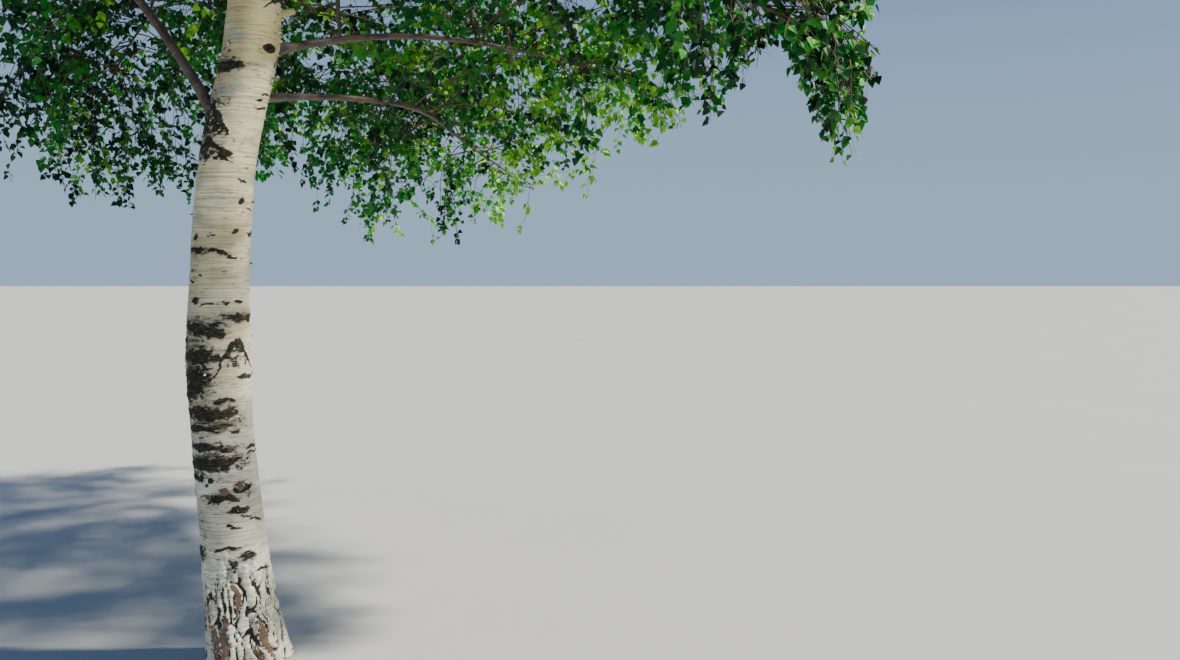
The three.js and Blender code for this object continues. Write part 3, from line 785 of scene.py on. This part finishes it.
# The limbs
# Each grows out of the trunk through a thick collar and tapers over its whole length, first as a bare
# bough and then as the stem of its twigs. The bark is brown and smooth, with grey near the trunk.
# Limbs and twigs sway to each side by this many degrees, so many times from foot to tip, each limb at a
# step from the one before it, and bend down at most to the steepest rise
SWAY = 9
WAVES = 1.6
PHASE_STEP = 0.37
DROOP_POWER = 1.3
STEEPEST = -88
LIMB_STEPS = 8
LIMB_TIP = 0.005
LIMB_TAPER = 1.25
COLLAR_OUT = 0.6  # how much thicker a limb is where it leaves the trunk, as a share of its radius
COLLAR_FADE = 0.09
TOP = {"turn": 70, "rise": 84, "reach": 1.35, "droop": 50, "phase": 0.2}
LIMB_MESH = {"sides": 14, "to_a_step": 8}
STARTS_INSIDE = 0.6  # of the trunk's radius
# Someone at the viewer's spot sees open sky under the crown, and what hangs there hangs above this line: a
# bearing to the right of straight back, the elevation of the crown's lower edge there, and how much higher
# the highest sprays of that edge end, all in degrees
SKY_LINE = np.array([
    (-50, 0, 3), (-33, 2.4, 2.5), (-21.5, 2.8, 2.5), (-20, 1.6, 4), (-9, 0.5, 7), (-5.2, 0.5, 8),
    (-4, 2.4, 8), (0.6, 4.2, 6), (2.5, 6.0, 5), (3.7, 7.4, 3), (8.4, 8.6, 3), (9.6, 11.5, 3),
    (12.0, 11.5, 3), (13.4, 8.6, 3), (14.4, 6.2, 3), (15.3, 5.0, 3), (16.2, 7.2, 3), (16.9, 15, 2),
    (45, 14, 2), (90, 0, 0),
])
# A spray sees the line up to this many degrees to the side, now right and now left, as its place in the
# ragged edge says
SKY_ASIDE = 1.1
ASIDE_TURNS = 40
# A limb ends and a twig starts this far up the ragged edge, and a twig ends this much above its sprays
LIMB_LIFT = 0.45
TWIG_LIFT = 0.25
# A limb's bark is grey near the trunk and brown further out, and all brown in the high crown
LIMB_BROWN = {"at_root": 0.35, "from": 0.12, "over": 0.7, "height": (3.5, 7.0)}


def direction(turn, rise):
    turn, rise = np.radians(turn), np.radians(rise)
    flat = np.cos(rise)
    return np.stack([flat * np.cos(turn), flat * np.sin(turn), np.sin(rise)], -1)


def grow(start, turn, rise, reach, droop, phase, steps):
    """The paths of limbs or twigs, one a row: each sets out in one direction, sways and bends down."""
    start, turn, rise, reach, droop, phase = map(np.asarray, (start, turn, rise, reach, droop, phase))
    t = (np.arange(steps) + 0.5) / steps
    swing = SWAY * np.sin(2 * math.pi * (WAVES * t + phase[:, None]))
    lowered = np.maximum(rise[:, None] - droop[:, None] * t**DROOP_POWER, STEEPEST)
    way = direction(turn[:, None] + swing, lowered) * (reach / steps)[:, None, None]
    return np.concatenate([start[:, None], start[:, None] + np.cumsum(way, axis=1)], axis=1)


def rounded(path, to_a_step):
    """A path with its bends rounded: a smooth curve through its points."""
    padded = np.vstack([2 * path[0] - path[1], path, 2 * path[-1] - path[-2]])
    t = np.arange(to_a_step)[None, :, None] / to_a_step
    a, b, c, d = (padded[k : len(padded) - 3 + k, None] for k in range(4))
    curve = 0.5 * (2 * b + (c - a) * t + (2 * a - 5 * b + 4 * c - d) * t**2 + (3 * b - a - 3 * c + d) * t**3)
    return np.vstack([curve.reshape(-1, 3), path[-1]])


def tube_corners(path, radii, sides):
    """Rings of corners square across a path, turned as little as can be from one to the next."""
    along = np.gradient(path, axis=0)
    along /= np.linalg.norm(along, axis=1, keepdims=True)
    side = np.cross(along[0], (0.0, 0.0, 1.0))
    angle = np.arange(sides) * 2 * math.pi / sides
    rings = []
    for point, way, radius in zip(path, along, radii):
        side = side - way * side.dot(way)
        side /= np.linalg.norm(side)
        over = np.cross(way, side)
        rings.append(point + radius * (np.cos(angle)[:, None] * side + np.sin(angle)[:, None] * over))
    return np.array(rings)


def brown_bark():
    finish = Finish("brown_bark")
    young = finish.field("young")
    blotch = finish.grain(14, 14, 4.0).between(0.40, 0.62)
    grey = finish.mix(blotch, (0.130, 0.108, 0.080), (0.062, 0.047, 0.033))
    scars = finish.grain(30, 30, 4.0, 0.6).between(0.56, 0.62)
    grey = finish.mix(scars, grey, (0.03, 0.024, 0.02))
    brown = finish.mix(blotch, (0.080, 0.045, 0.028), (0.040, 0.024, 0.017))
    pores = finish.grain(150, 150, 1.0).between(0.66, 0.72)
    brown = finish.mix(pores * 0.8, brown, (0.34, 0.27, 0.20))
    colour = finish.mix(young, grey, brown)
    normal = finish.relief(scars * 0.6 + pores * 0.5 + finish.grain(60, 60, 4.0), 0.5, 0.002)
    rough = 0.62 - young * 0.12
    return finish.shade(Base_Color=colour, Roughness=rough, Normal=normal, Specular_IOR_Level=0.4)


def limb_radius(plan, place, end):
    """Its radius at each place from 0, the middle of the trunk, to its end."""
    outside = np.maximum(plan["reach"] * place - trunk_radius(np.array(plan["height"]), 0.0), 0)
    collar = 1 + COLLAR_OUT * np.exp(-outside / COLLAR_FADE)
    return mix(LIMB_TIP, plan["radius"], (1 - place / end) ** LIMB_TAPER) * collar


def over_sky(points, lift):
    """Whether points stand above the sky line, which each row of them sees by its own lift, 0 to 1."""
    right, back, up = np.moveaxis(points - np.array(EYE), -1, 0)
    row_lift = np.reshape(lift, (-1,) + (1,) * (points.ndim - 2))
    bearing = np.degrees(np.arctan2(right, back)) + SKY_ASIDE * np.sin(ASIDE_TURNS * row_lift)
    line = np.interp(bearing, SKY_LINE[:, 0], SKY_LINE[:, 1], left=-90, right=-90)
    ragged = np.interp(bearing, SKY_LINE[:, 0], SKY_LINE[:, 2])
    return np.degrees(np.arctan2(up, np.hypot(right, back))) > line + ragged * row_lift


brown = brown_bark()
starts = trunk_middle(np.array([plan["height"] for plan in plans] + [TRUNK_TOP]))
whole = plans + [{**TOP, "height": TRUNK_TOP, "radius": TIP_RADIUS, "bare": 0.0}]
phases = [i * PHASE_STEP for i in range(len(plans))] + [TOP["phase"]]
rows = {key: [plan[key] for plan in whole] for key in ("turn", "rise", "reach", "droop")}
limbs = grow(starts, **rows, phase=phases, steps=LIMB_STEPS)
for i, (plan, limb) in enumerate(zip(whole, limbs)):
    path = rounded(limb, LIMB_MESH["to_a_step"])
    place = np.linspace(0, 1, len(path))
    if i < len(plans):
        shown = int(np.argmin(np.append(over_sky(path, LIMB_LIFT), False)))
        path, place = path[:shown], place[:shown]
        radii = limb_radius(plan, place, place[-1])
        out = plan["reach"] * place * math.cos(math.radians(plan["rise"]))
        first = int(np.argmax(out > STARTS_INSIDE * trunk_radius(np.array(plan["height"]), 0.0)))
        nodes = [f"bough_{i + 1:02d}"]
    else:
        radii = mix(TIP_RADIUS, LIMB_TIP, place)
        first = 0
        path[0, 2] -= OVERLAP
        nodes = ["foliage_top"]
    corners = tube_corners(path[first:], radii[first:], LIMB_MESH["sides"])
    outward = (plan["reach"] * place[first:] - LIMB_BROWN["from"]) / LIMB_BROWN["over"]
    young = smooth(LIMB_BROWN["at_root"] + outward + smooth(plan["height"], *LIMB_BROWN["height"]))
    young = np.repeat(young[:, None], LIMB_MESH["sides"], axis=1)
    faces = skin_faces(len(corners), LIMB_MESH["sides"])
    name = f"limb_{i + 1:02d}" if i < len(plans) else "limb_top"
    limb_piece = mesh_piece(name, corners.reshape(-1, 3), faces, brown, {"young": young})
    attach(limb_piece, "root")
    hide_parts(*nodes)

# The stub
# All that is left of a bough that broke off on the right, level with the top of the picture: a short, pale
# peg still in its white bark, with a splintered end.
STUB = {"height": 2.525, "turn": 75, "rise": 15, "long": 0.055, "radius": 0.015, "tip": 0.012, "rings": 9}
SPLINTER = 0.009  # how far the splinters of its end stand out or in
STUB_SEED = 78

stub_out = direction(FACES_VIEWER + STUB["turn"], STUB["rise"])
stub_thick = float(trunk_radius(np.array(STUB["height"]), math.radians(FACES_VIEWER + STUB["turn"])))
stub_places = np.linspace(STARTS_INSIDE * stub_thick, stub_thick + STUB["long"], STUB["rings"])
stub_path = trunk_middle(np.array(STUB["height"])) + stub_places[:, None] * stub_out
stub_radii = np.linspace(STUB["radius"], STUB["tip"], STUB["rings"])
stub_corners = tube_corners(stub_path, stub_radii, LIMB_MESH["sides"])
splinters = np.random.default_rng(STUB_SEED).uniform(-1, 1, (LIMB_MESH["sides"], 1))
stub_corners[-1] += SPLINTER * splinters * stub_out
stub_faces = skin_faces(STUB["rings"], LIMB_MESH["sides"])
stub = mesh_piece("stub", stub_corners.reshape(-1, 3), stub_faces, bark)
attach(stub, "root")
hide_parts("trunk")

# The twigs
# From each limb's stem grow twigs, one to one side and the next to the other, and from them hanging
# twiglets with short shoots. All are thin and red-brown, and bend down until they hang.
SEED = 1009
HIGH_FROM = 16  # the twigs of this limb and all above it are one piece
RAGGED = 0.3  # how unlike its twig's a twiglet's own place in the sky line's ragged edge is
# Places along what carries a twig are shares of its length, and so is the reach of a stem's own twigs and
# of the finer ones among them. Other lengths are in metres, and turns, climbs and falls in degrees.
TWIG = {
    "count": 5,
    "first": 0.1,
    "spread": (40.6, 69.6),
    "climb": (-10, 60),
    "reach": (0.8, 0.4),
    "reach_spread": (0.85, 1.15),
    "fall": (80, 110),
    "steps": 10,
    "sides": 3,
    "radius": (0.0048, 0.0018),
}
MORE_TWIGS = {
    "skirt": (32, 26, 30, 22, 32, 32, 24),
    "spiral": 16,
    "along": (0.0, 0.97),
    "reach_share": (0.4, 1.0),
    "fall": (35, 110),
}
TIP_TWIGS = {
    "count": (8, 9, 18, 26, 9, 8, 8),
    "along": (0.74, 0.99),
    "reach": (0.42, 0.90),
    "spread": 55,
    "climb": (-10, 40),
    "fall": (60, 110),
}
TWIGLET = {
    "apart": 0.088,
    "first": 0.06,
    "reach": (0.16, 0.56),
    "swing": (20, 85),
    "climb": (-15, 55),
    "fall": (10, 75),
    "steps": 5,
    "radius": (0.0019, 0.0010),
}
SHOOT = {
    "apart": 0.078,
    "first": 0.1,
    "reach": (0.04, 0.15),
    "swing": (30, 90),
    "climb": (-15, 55),
    "fall": (10, 90),
    "steps": 1,
    "radius": (0.0011, 0.0008),
}
# The ball round a stem that its twigs keep to: where along the stem its middle lies, and how far that is
# lowered and its radius as shares of the stem's length, which counts as no less than the last value
SPACE = {"middle": 0.58, "low": 0.16, "half": 0.74, "least": 1.35}
# The least height of twigs behind the trunk and on the viewer's side, and where one passes into the other,
# from -1 straight behind the trunk to 1 straight in front of it
FLOOR = {"skirt": 1.68, "viewer": 2.75, "from": -0.1, "to": 0.5}
CLEAR = 0.024  # of the trunk
BOX_MARGIN = 0.02  # how far past the solids' box
# How far the crown's top falls away in its first metre, and how far out that goes on
TOP_ROUND = {"fall": 0.35, "within": 1.5}
WORD = 0xFFFFFFFF  # the highest number of 32 bits


def seeded(seed):
    """The small generator that the solids' twigs are drawn with."""
    state = seed & WORD

    def draw():
        nonlocal state
        state = (state + 0x6D2B79F5) & WORD
        t = state
        t = ((t ^ (t >> 15)) * (t | 1)) & WORD
        t ^= (t + (((t ^ (t >> 7)) * (t | 61)) & WORD)) & WORD
        return ((t ^ (t >> 14)) & WORD) / (WORD + 1)

    return draw


def headings(way):
    """The turn and rise of directions, in degrees."""
    way = way / np.linalg.norm(way, axis=-1, keepdims=True)
    rise = np.arcsin(np.clip(way[..., 2], -1, 1))
    return np.degrees(np.arctan2(way[..., 1], way[..., 0])), np.degrees(rise)


def stem_of(plan, limb):
    """The part of a limb's path that carries twigs, and its length."""
    bare_steps = round(LIMB_STEPS * plan["bare"] + 1e-9)
    return limb[bare_steps:], plan["reach"] * (1 - bare_steps / LIMB_STEPS)


def on_path(paths, row, place):
    """Points and directions at places from 0 to 1 along the paths of these rows."""
    last = paths.shape[1] - 1
    spot = np.clip(np.asarray(place) * last, 0, last - 1e-6)
    i = spot.astype(int)
    before, after = paths[row, i], paths[row, i + 1]
    return mix(before, after, (spot - i)[:, None]), after - before


def mass_spaces():
    """The ball and the floor that each mass keeps to."""
    middles, halves, floors = [], [], []
    for plan, limb in zip(whole, limbs):
        stem, stem_length = stem_of(plan, limb)
        size = max(stem_length, SPACE["least"])
        middle = stem[round(len(stem) * SPACE["middle"])] - (0, 0, SPACE["low"] * size)
        sideways = -middle[1] / math.hypot(middle[0], middle[1])
        share = float(smooth(sideways, FLOOR["from"], FLOOR["to"]))
        middles.append(middle)
        halves.append(SPACE["half"] * size)
        floors.append(mix(FLOOR["skirt"], FLOOR["viewer"], share))
    return np.array(middles), np.array(halves), np.array(floors)


middles, halves, floors = mass_spaces()
low_corner = np.array(solid_box[0]) - BOX_MARGIN
high_corner = np.array(solid_box[1]) + BOX_MARGIN


def free(points, mass, lift):
    """Whether points lie in their mass's space, in the tree's box, clear of the trunk and over the sky."""
    shape = (len(mass),) + (1,) * (points.ndim - 2)
    from_middle = np.linalg.norm(points - middles[mass].reshape(shape + (3,)), axis=-1)
    in_ball = from_middle < halves[mass].reshape(shape)
    above = points[..., 2] > floors[mass].reshape(shape)
    boxed = np.all((points > low_corner) & (points < high_corner), axis=-1)
    from_top = np.linalg.norm(points[..., :2] - limbs[-1, -1, :2], axis=-1)
    fall = TOP_ROUND["fall"] * np.minimum(from_top, TOP_ROUND["within"]) ** 2
    boxed &= points[..., 2] < high_corner[2] - fall
    trunk = trunk_middle(points[..., 2])
    out = np.linalg.norm(points[..., :2] - trunk[..., :2], axis=-1)
    clear = (out > trunk_radius(points[..., 2], 0.0) + CLEAR) | (points[..., 2] > TRUNK_TOP)
    return in_ball & above & boxed & clear & over_sky(points, lift)


def kept_share(paths, mass, lift):
    """How much of each path, from its foot, lies in free space."""
    foot = np.ones((len(paths), 1), bool)
    inside = np.concatenate([foot, free(paths[:, 1:], mass, lift), ~foot], axis=1)
    return (np.argmin(inside, axis=1) - 1) / (paths.shape[1] - 1)


def stem_twigs():
    """The twigs of every stem: the solids' five, drawn as they are, and finer ones by the same rule."""
    rows = []
    for index, (plan, limb) in enumerate(zip(whole, limbs)):
        stem, stem_length = stem_of(plan, limb)
        end = len(stem) - 1
        draw = seeded(SEED * (index + 1))
        random = np.random.default_rng(SEED * (index + 1))
        curve = rounded(stem, LIMB_MESH["to_a_step"])
        in_skirt = index < len(SKIRT)
        more = MORE_TWIGS["skirt"][index] if in_skirt else MORE_TWIGS["spiral"]
        for i in range(TWIG["count"] + more):
            if i < TWIG["count"]:
                t = mix(TWIG["first"], 1, i / (TWIG["count"] - 1))
                spot = math.floor(t * end + 0.5)
                start = stem[spot]
                along = start - stem[max(spot - 1, 0)]
                side = 0 if i == TWIG["count"] - 1 else 1 - 2 * (i % 2)
                share = 1.0
                fall = TWIG["fall"]
            else:
                k = i - TWIG["count"]
                draw = random.random
                t = mix(*MORE_TWIGS["along"], (k + draw()) / more)
                spot = int(t * (len(curve) - 1))
                start = curve[spot]
                along = curve[spot + 1] - start
                side = 1 - 2 * (k % 2)
                share = mix(*MORE_TWIGS["reach_share"], draw())
                fall = MORE_TWIGS["fall"]
            if not along.any():
                along = stem[1] - stem[0]
            turn, rise = headings(along)
            turn += side * mix(*TWIG["spread"], draw())
            rise += mix(*TWIG["climb"], draw())
            reach = stem_length * mix(*TWIG["reach"], t) * mix(*TWIG["reach_spread"], draw())
            rows.append((index, start, turn, rise, reach * share, mix(*fall, draw()), draw()))
        for _ in range(TIP_TWIGS["count"][index] if in_skirt else 0):
            spot = int(random.uniform(*TIP_TWIGS["along"]) * (len(curve) - 1))
            turn, rise = headings(curve[spot + 1] - curve[spot])
            turn += random.uniform(-1, 1) * TIP_TWIGS["spread"]
            rise += random.uniform(*TIP_TWIGS["climb"])
            reach = random.uniform(*TIP_TWIGS["reach"])
            fall = random.uniform(*TIP_TWIGS["fall"])
            rows.append((index, curve[spot], turn, rise, reach, fall, random.random()))
    mass, start, turn, rise, reach, droop, phase = (np.array(column) for column in zip(*rows))
    return grow(start, turn, rise, reach, droop, phase, TWIG["steps"]), reach, mass


def side_growth(kind, paths, reaches, kept, mass, random):
    """Twiglets on twigs, or shoots on twiglets: along each path, to one side and then to the other."""
    counts = np.floor(reaches * kept / kind["apart"]).astype(int)
    row = np.repeat(np.arange(len(paths)), counts)
    number = np.arange(len(row)) - np.repeat(np.cumsum(counts) - counts, counts)
    stand = (number + random.uniform(0.2, 1.0, len(row))) / counts[row]
    place = np.minimum(mix(kind["first"], 1.0, stand), 1.0) * kept[row]
    start, along = on_path(paths, row, place)
    turn, rise = headings(along)
    side = 1 - 2 * (number % 2)
    reach = mix(*kind["reach"], random.random(len(row)))
    grown = grow(
        start,
        turn + side * mix(*kind["swing"], random.random(len(row))),
        np.maximum(rise + mix(*kind["climb"], random.random(len(row))), STEEPEST),
        reach,
        mix(*kind["fall"], random.random(len(row))),
        random.random(len(row)),
        kind["steps"],
    )
    return grown, reach, mass[row], row


random = np.random.default_rng(SEED)
twigs, twig_reach, twig_mass = stem_twigs()
twig_lift = random.random(len(twigs))
twig_kept = kept_share(twigs, twig_mass, np.minimum(twig_lift + TWIG_LIFT, 1))
twig_kept *= over_sky(twigs[:, 0], LIMB_LIFT)
twiglets, twiglet_reach, twiglet_mass, its_twig = side_growth(
    TWIGLET, twigs, twig_reach, twig_kept, twig_mass, random)
twiglet_lift = np.clip(twig_lift[its_twig] + RAGGED * (random.random(len(twiglets)) - 0.5), 0, 1)
twiglet_kept = kept_share(twiglets, twiglet_mass, twiglet_lift)
shoots, _, shoot_mass, its_twiglet = side_growth(
    SHOOT, twiglets, twiglet_reach, twiglet_kept, twiglet_mass, random)
shoot_lift = twiglet_lift[its_twiglet]
shoot_kept = kept_share(shoots, shoot_mass, shoot_lift)


def path_mesh(name, groups):
    """The paths as chains of edges, cut where they leave their space, with a thickness at each point."""
    corners, edges, thick = [], [], []
    total = 0
    for paths, kept, radius in groups:
        points = paths.shape[1]
        place = np.arange(points) / (points - 1)
        use = place[None] <= kept[:, None] + 1e-6
        use &= use[:, 1:2]
        number = np.cumsum(use).reshape(use.shape) - 1 + total
        joined = use[:, 1:]
        edges.append(np.stack([number[:, :-1][joined], number[:, 1:][joined]], -1))
        corners.append(paths[use])
        thick.append(np.broadcast_to(mix(*radius, place), use.shape)[use])
        total += int(use.sum())
    mesh = bpy.data.meshes.new(name)
    mesh.from_pydata(np.concatenate(corners).tolist(), np.concatenate(edges).tolist(), [])
    carry(mesh, "thick", np.concatenate(thick))
    return mesh


def growth_tree(name, inputs):
    """A tree of Geometry Nodes with these inputs: the tree, and what each of them gives."""
    nodes = bpy.data.node_groups.new(name, "GeometryNodeTree")
    for given, kind in inputs.items():
        nodes.interface.new_socket(given, in_out="INPUT", socket_type="NodeSocket" + kind)
    nodes.interface.new_socket("Grown", in_out="OUTPUT", socket_type="NodeSocketGeometry")
    sockets = nodes.nodes.new("NodeGroupInput").outputs
    tree = Tree(nodes)
    return tree, *(Wire(tree, sockets[given]) for given in inputs)


def carried(tree, name, kind="FLOAT"):
    return tree.node("GeometryNodeInputNamedAttribute", {"data_type": kind}, {"Name": name})


def end_tree(tree, grown, material):
    """The end of a tree: what it has grown as real faces, in their material."""
    real = tree.node("GeometryNodeRealizeInstances", {}, {"Geometry": grown})
    made = tree.node("GeometryNodeSetMaterial", {}, {"Geometry": real, "Material": material})
    tree.feed(tree.nodes.nodes.new("NodeGroupOutput").inputs["Grown"], made)
    return tree.nodes


def twig_tree():
    """Geometry Nodes: a tube with so many sides along each chain of edges."""
    inputs = {"Paths": "Geometry", "Sides": "Int", "Bark": "Material"}
    tree, paths, sides, bark_in = growth_tree("twig_tubes", inputs)
    curves = tree.node("GeometryNodeMeshToCurve", {}, {"Mesh": paths})
    section = tree.node("GeometryNodeCurvePrimitiveCircle", {}, {"Resolution": sides, "Radius": 1.0})
    values = {"Curve": curves, "Profile Curve": section, "Scale": carried(tree, "thick"), "Fill Caps": True}
    return end_tree(tree, tree.node("GeometryNodeCurveToMesh", {}, values), bark_in)


def set_inputs(modifier, values):
    """A modifier's inputs, each by the identifier of its socket."""
    for item in modifier.node_group.interface.items_tree:
        if item.item_type == "SOCKET" and item.in_out == "INPUT" and item.name in values:
            modifier[item.identifier] = values[item.name]


def grown_piece(name, mesh, tree, values):
    """A plain mesh from a tree of Geometry Nodes."""
    seedbed = bpy.data.objects.new(name + "_paths", mesh)
    bpy.context.scene.collection.objects.link(seedbed)
    modifier = seedbed.modifiers.new("growth", "NODES")
    modifier.node_group = tree
    set_inputs(modifier, values)
    ready = seedbed.evaluated_get(bpy.context.evaluated_depsgraph_get())
    piece = bpy.data.objects.new(name, bpy.data.meshes.new_from_object(ready))
    bpy.data.objects.remove(seedbed)
    bpy.context.scene.collection.objects.link(piece)
    return piece


def twig_bark():
    finish = Finish("twig_bark")
    shade = finish.grain(9, 9, 3.0).between(0.35, 0.65)
    colour = finish.mix(shade, (0.055, 0.026, 0.016), (0.12, 0.060, 0.034))
    pores = finish.grain(260, 260, 1.0).between(0.62, 0.70)
    colour = finish.mix(pores * 0.7, colour, (0.30, 0.22, 0.15))
    return finish.shade(Base_Color=colour, Roughness=0.55, Specular_IOR_Level=0.4)


masses = [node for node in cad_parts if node.startswith("foliage")]
twig_finish = twig_bark()
tubes = twig_tree()
tiers = {"twigs_low": 0, "twigs_middle": len(SKIRT), "twigs_high": HIGH_FROM}
for (name, first), end in zip(tiers.items(), [len(SKIRT), HIGH_FROM, len(whole)]):
    in_tier = [(kind >= first) & (kind < end) for kind in (twig_mass, twiglet_mass, shoot_mass)]
    groups = [
        (twigs[in_tier[0]], twig_kept[in_tier[0]], TWIG["radius"]),
        (twiglets[in_tier[1]], twiglet_kept[in_tier[1]], TWIGLET["radius"]),
        (shoots[in_tier[2]], shoot_kept[in_tier[2]], SHOOT["radius"]),
    ]
    inputs = {"Sides": TWIG["sides"], "Bark": twig_finish}
    piece = grown_piece(name, path_mesh(name, groups), tubes, inputs)
    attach(piece, "root")
    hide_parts(*masses)

# The leaves
# Small, thin and three-cornered with a long tip, each on its own short stalk. They stand alternately on
# the twiglets and up to four on a shoot, and hang. Their greens are painted light and shade: dark green
# where shade is painted and yellow-green where sunlight is painted.
LEAF = {
    "apart": 0.055,
    "first": 0.4,
    "length": (0.040, 0.064),
    "swing": (30, 95),
    "fall": (15, 80),
    "roll": 65,
    "high": 1.3,  # how much longer they are in the high crown, where fewer stand for many
    "high_from": (3.6, 5.2),
}
SHOOT_LEAVES = {"count": 4, "kept": 0.3}  # on each shoot of which this much lies in free space
# The outline of half a leaf, as shares of its length: along its rib, and out to the side
STALK = 0.20
OUTLINE = [(0.34, 0.34), (0.62, 0.25)]
STALK_HALF = 0.012
SIDE_UP = 0.06
# The greens are painted light and shade, from the deepest painted shade to painted sunlight
GREENS = {
    "leaves_deep": (0.001, 0.024, 0.005),
    "leaves_dark": (0.002, 0.060, 0.008),
    "leaves_mid": (0.008, 0.135, 0.010),
    "leaves_light": (0.036, 0.245, 0.012),
    "leaves_sunlit": (0.165, 0.430, 0.014),
}
# How the sprays are shared out among the greens, from the darkest
SHARES = (0.24, 0.26, 0.24, 0.17, 0.09)


def leaf_blade(material):
    """One leaf along +Y with its face to +Z: a stalk, and a blade folded along its rib."""
    (low_y, low_x), (high_y, high_x) = OUTLINE
    corners = [
        (-STALK_HALF, 0, 0),
        (STALK_HALF, 0, 0),
        (0, STALK, 0),
        (low_x, low_y, SIDE_UP),
        (high_x, high_y, SIDE_UP),
        (0, 1, 0),
        (-high_x, high_y, SIDE_UP),
        (-low_x, low_y, SIDE_UP),
    ]
    faces = [(0, 1, 2), (2, 3, 4), (2, 4, 5), (2, 5, 6), (2, 6, 7)]
    return mesh_piece("leaf_blade", corners, faces, material, smooth=False)


def leaf_finish(name, green):
    finish = Finish(name)
    tone = finish.grain(11, 11, 2.0).between(0.3, 0.7)
    paler = tuple(min(1.0, 1.35 * share) for share in green)
    colour = finish.mix(tone, green, paler)
    return finish.shade(Base_Color=colour, Roughness=0.5, Specular_IOR_Level=0.17)


def leaf_tree():
    """Geometry Nodes: a leaf at each point, turned along its stalk and rolled to face its way."""
    inputs = {"Points": "Geometry", "Leaf": "Object", "Green": "Material"}
    tree, points, leaf, green = growth_tree("leaf_spread", inputs)
    along = carried(tree, "along", "FLOAT_VECTOR")
    facing = carried(tree, "facing", "FLOAT_VECTOR")
    size = carried(tree, "size")
    turned = tree.node("FunctionNodeAlignRotationToVector", {"axis": "Y"}, {"Vector": along})
    values = {"Rotation": turned, "Vector": facing}
    rolled = tree.node("FunctionNodeAlignRotationToVector", {"axis": "Z", "pivot_axis": "Y"}, values)
    blade = tree.node("GeometryNodeObjectInfo", {}, {"Object": leaf}, out="Geometry")
    scale = tree.node("ShaderNodeCombineXYZ", {}, {"X": size, "Y": size, "Z": size})
    values = {"Points": points, "Instance": blade, "Rotation": rolled, "Scale": scale}
    return end_tree(tree, tree.node("GeometryNodeInstanceOnPoints", {}, values), green)


def leaves_on(paths, kept, counts, spray, mass, lift):
    """Leaves along paths: where each stands, which way it hangs and faces, its size and its spray."""
    row = np.repeat(np.arange(len(paths)), counts)
    number = np.arange(len(row)) - np.repeat(np.cumsum(counts) - counts, counts)
    stand = (number + random.uniform(0.5, 1.0, len(row))) / counts[row]
    place = mix(LEAF["first"], 1.0, stand) * kept[row]
    root, twig_way = on_path(paths, row, place)
    turn, _ = headings(twig_way)
    side = 1 - 2 * (number % 2)
    swing = side * mix(*LEAF["swing"], random.random(len(row)))
    along = direction(turn + swing, -mix(*LEAF["fall"], random.random(len(row))))
    level = np.cross(along, (0.0, 0.0, 1.0))
    level /= np.linalg.norm(level, axis=1, keepdims=True)
    over = np.cross(level, along)
    roll = np.radians(random.uniform(-LEAF["roll"], LEAF["roll"], len(row)))[:, None]
    facing = over * np.cos(roll) + level * np.sin(roll)
    size = mix(*LEAF["length"], random.random(len(row)))
    size *= mix(1, LEAF["high"], smooth(root[:, 2], *LEAF["high_from"]))
    use = free(root + along * size[:, None], mass[row], lift[row])
    return root[use], along[use], facing[use], size[use], spray[row][use]


own_counts = np.ceil(twiglet_reach * twiglet_kept * (1 - LEAF["first"]) / LEAF["apart"]).astype(int)
sprays = np.arange(len(twiglets))
own = leaves_on(twiglets, twiglet_kept, own_counts, sprays, twiglet_mass, twiglet_lift)
more_counts = np.where(shoot_kept > SHOOT_LEAVES["kept"], SHOOT_LEAVES["count"], 0)
more = leaves_on(shoots, shoot_kept, more_counts, its_twiglet, shoot_mass, shoot_lift)
roots, alongs, facings, sizes, leaf_spray = (np.concatenate(pair) for pair in zip(own, more))

# A spray's green is painted light and shade, with some tone at random. It comes from where it hangs: the
# lower, the nearer to the viewer, the further to the left or the deeper in the crown, the darker, as painted
# shade. One place on the right gets painted sunlight.
EXPOSURE = {"back": 0.17, "right": 0.10, "up": 0.06, "out": 0.04, "by_chance": 0.28}
SUNNY = {"spot": (1.5, 2.0, 2.6), "spread": 0.9, "more": 0.35}
spray_middle = twiglets.mean(axis=1)
from_axis = spray_middle - trunk_middle(spray_middle[:, 2])
from_sunny = np.linalg.norm(spray_middle - SUNNY["spot"], axis=1) / SUNNY["spread"]
exposure = (
    EXPOSURE["back"] * spray_middle[:, 1]
    + EXPOSURE["right"] * spray_middle[:, 0]
    + EXPOSURE["up"] * spray_middle[:, 2]
    + EXPOSURE["out"] * np.linalg.norm(from_axis[:, :2], axis=1)
    + random.normal(0, EXPOSURE["by_chance"], len(twiglets))
    + SUNNY["more"] * np.exp(-(from_sunny**2))
)
limits = np.quantile(exposure, np.cumsum(SHARES)[:-1])
group = np.searchsorted(limits, exposure)

spread = leaf_tree()
for number, (name, green) in enumerate(GREENS.items()):
    use = group[leaf_spray] == number
    finish = leaf_finish(name, green)
    blade = leaf_blade(finish)
    mesh = bpy.data.meshes.new(name)
    mesh.from_pydata(roots[use].tolist(), [], [])
    carry(mesh, "along", alongs[use], "FLOAT_VECTOR")
    carry(mesh, "facing", facings[use], "FLOAT_VECTOR")
    carry(mesh, "size", sizes[use])
    piece = grown_piece(name, mesh, spread, {"Leaf": blade, "Green": finish})
    bpy.data.objects.remove(blade)
    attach(piece, "root")
    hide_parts(*masses)
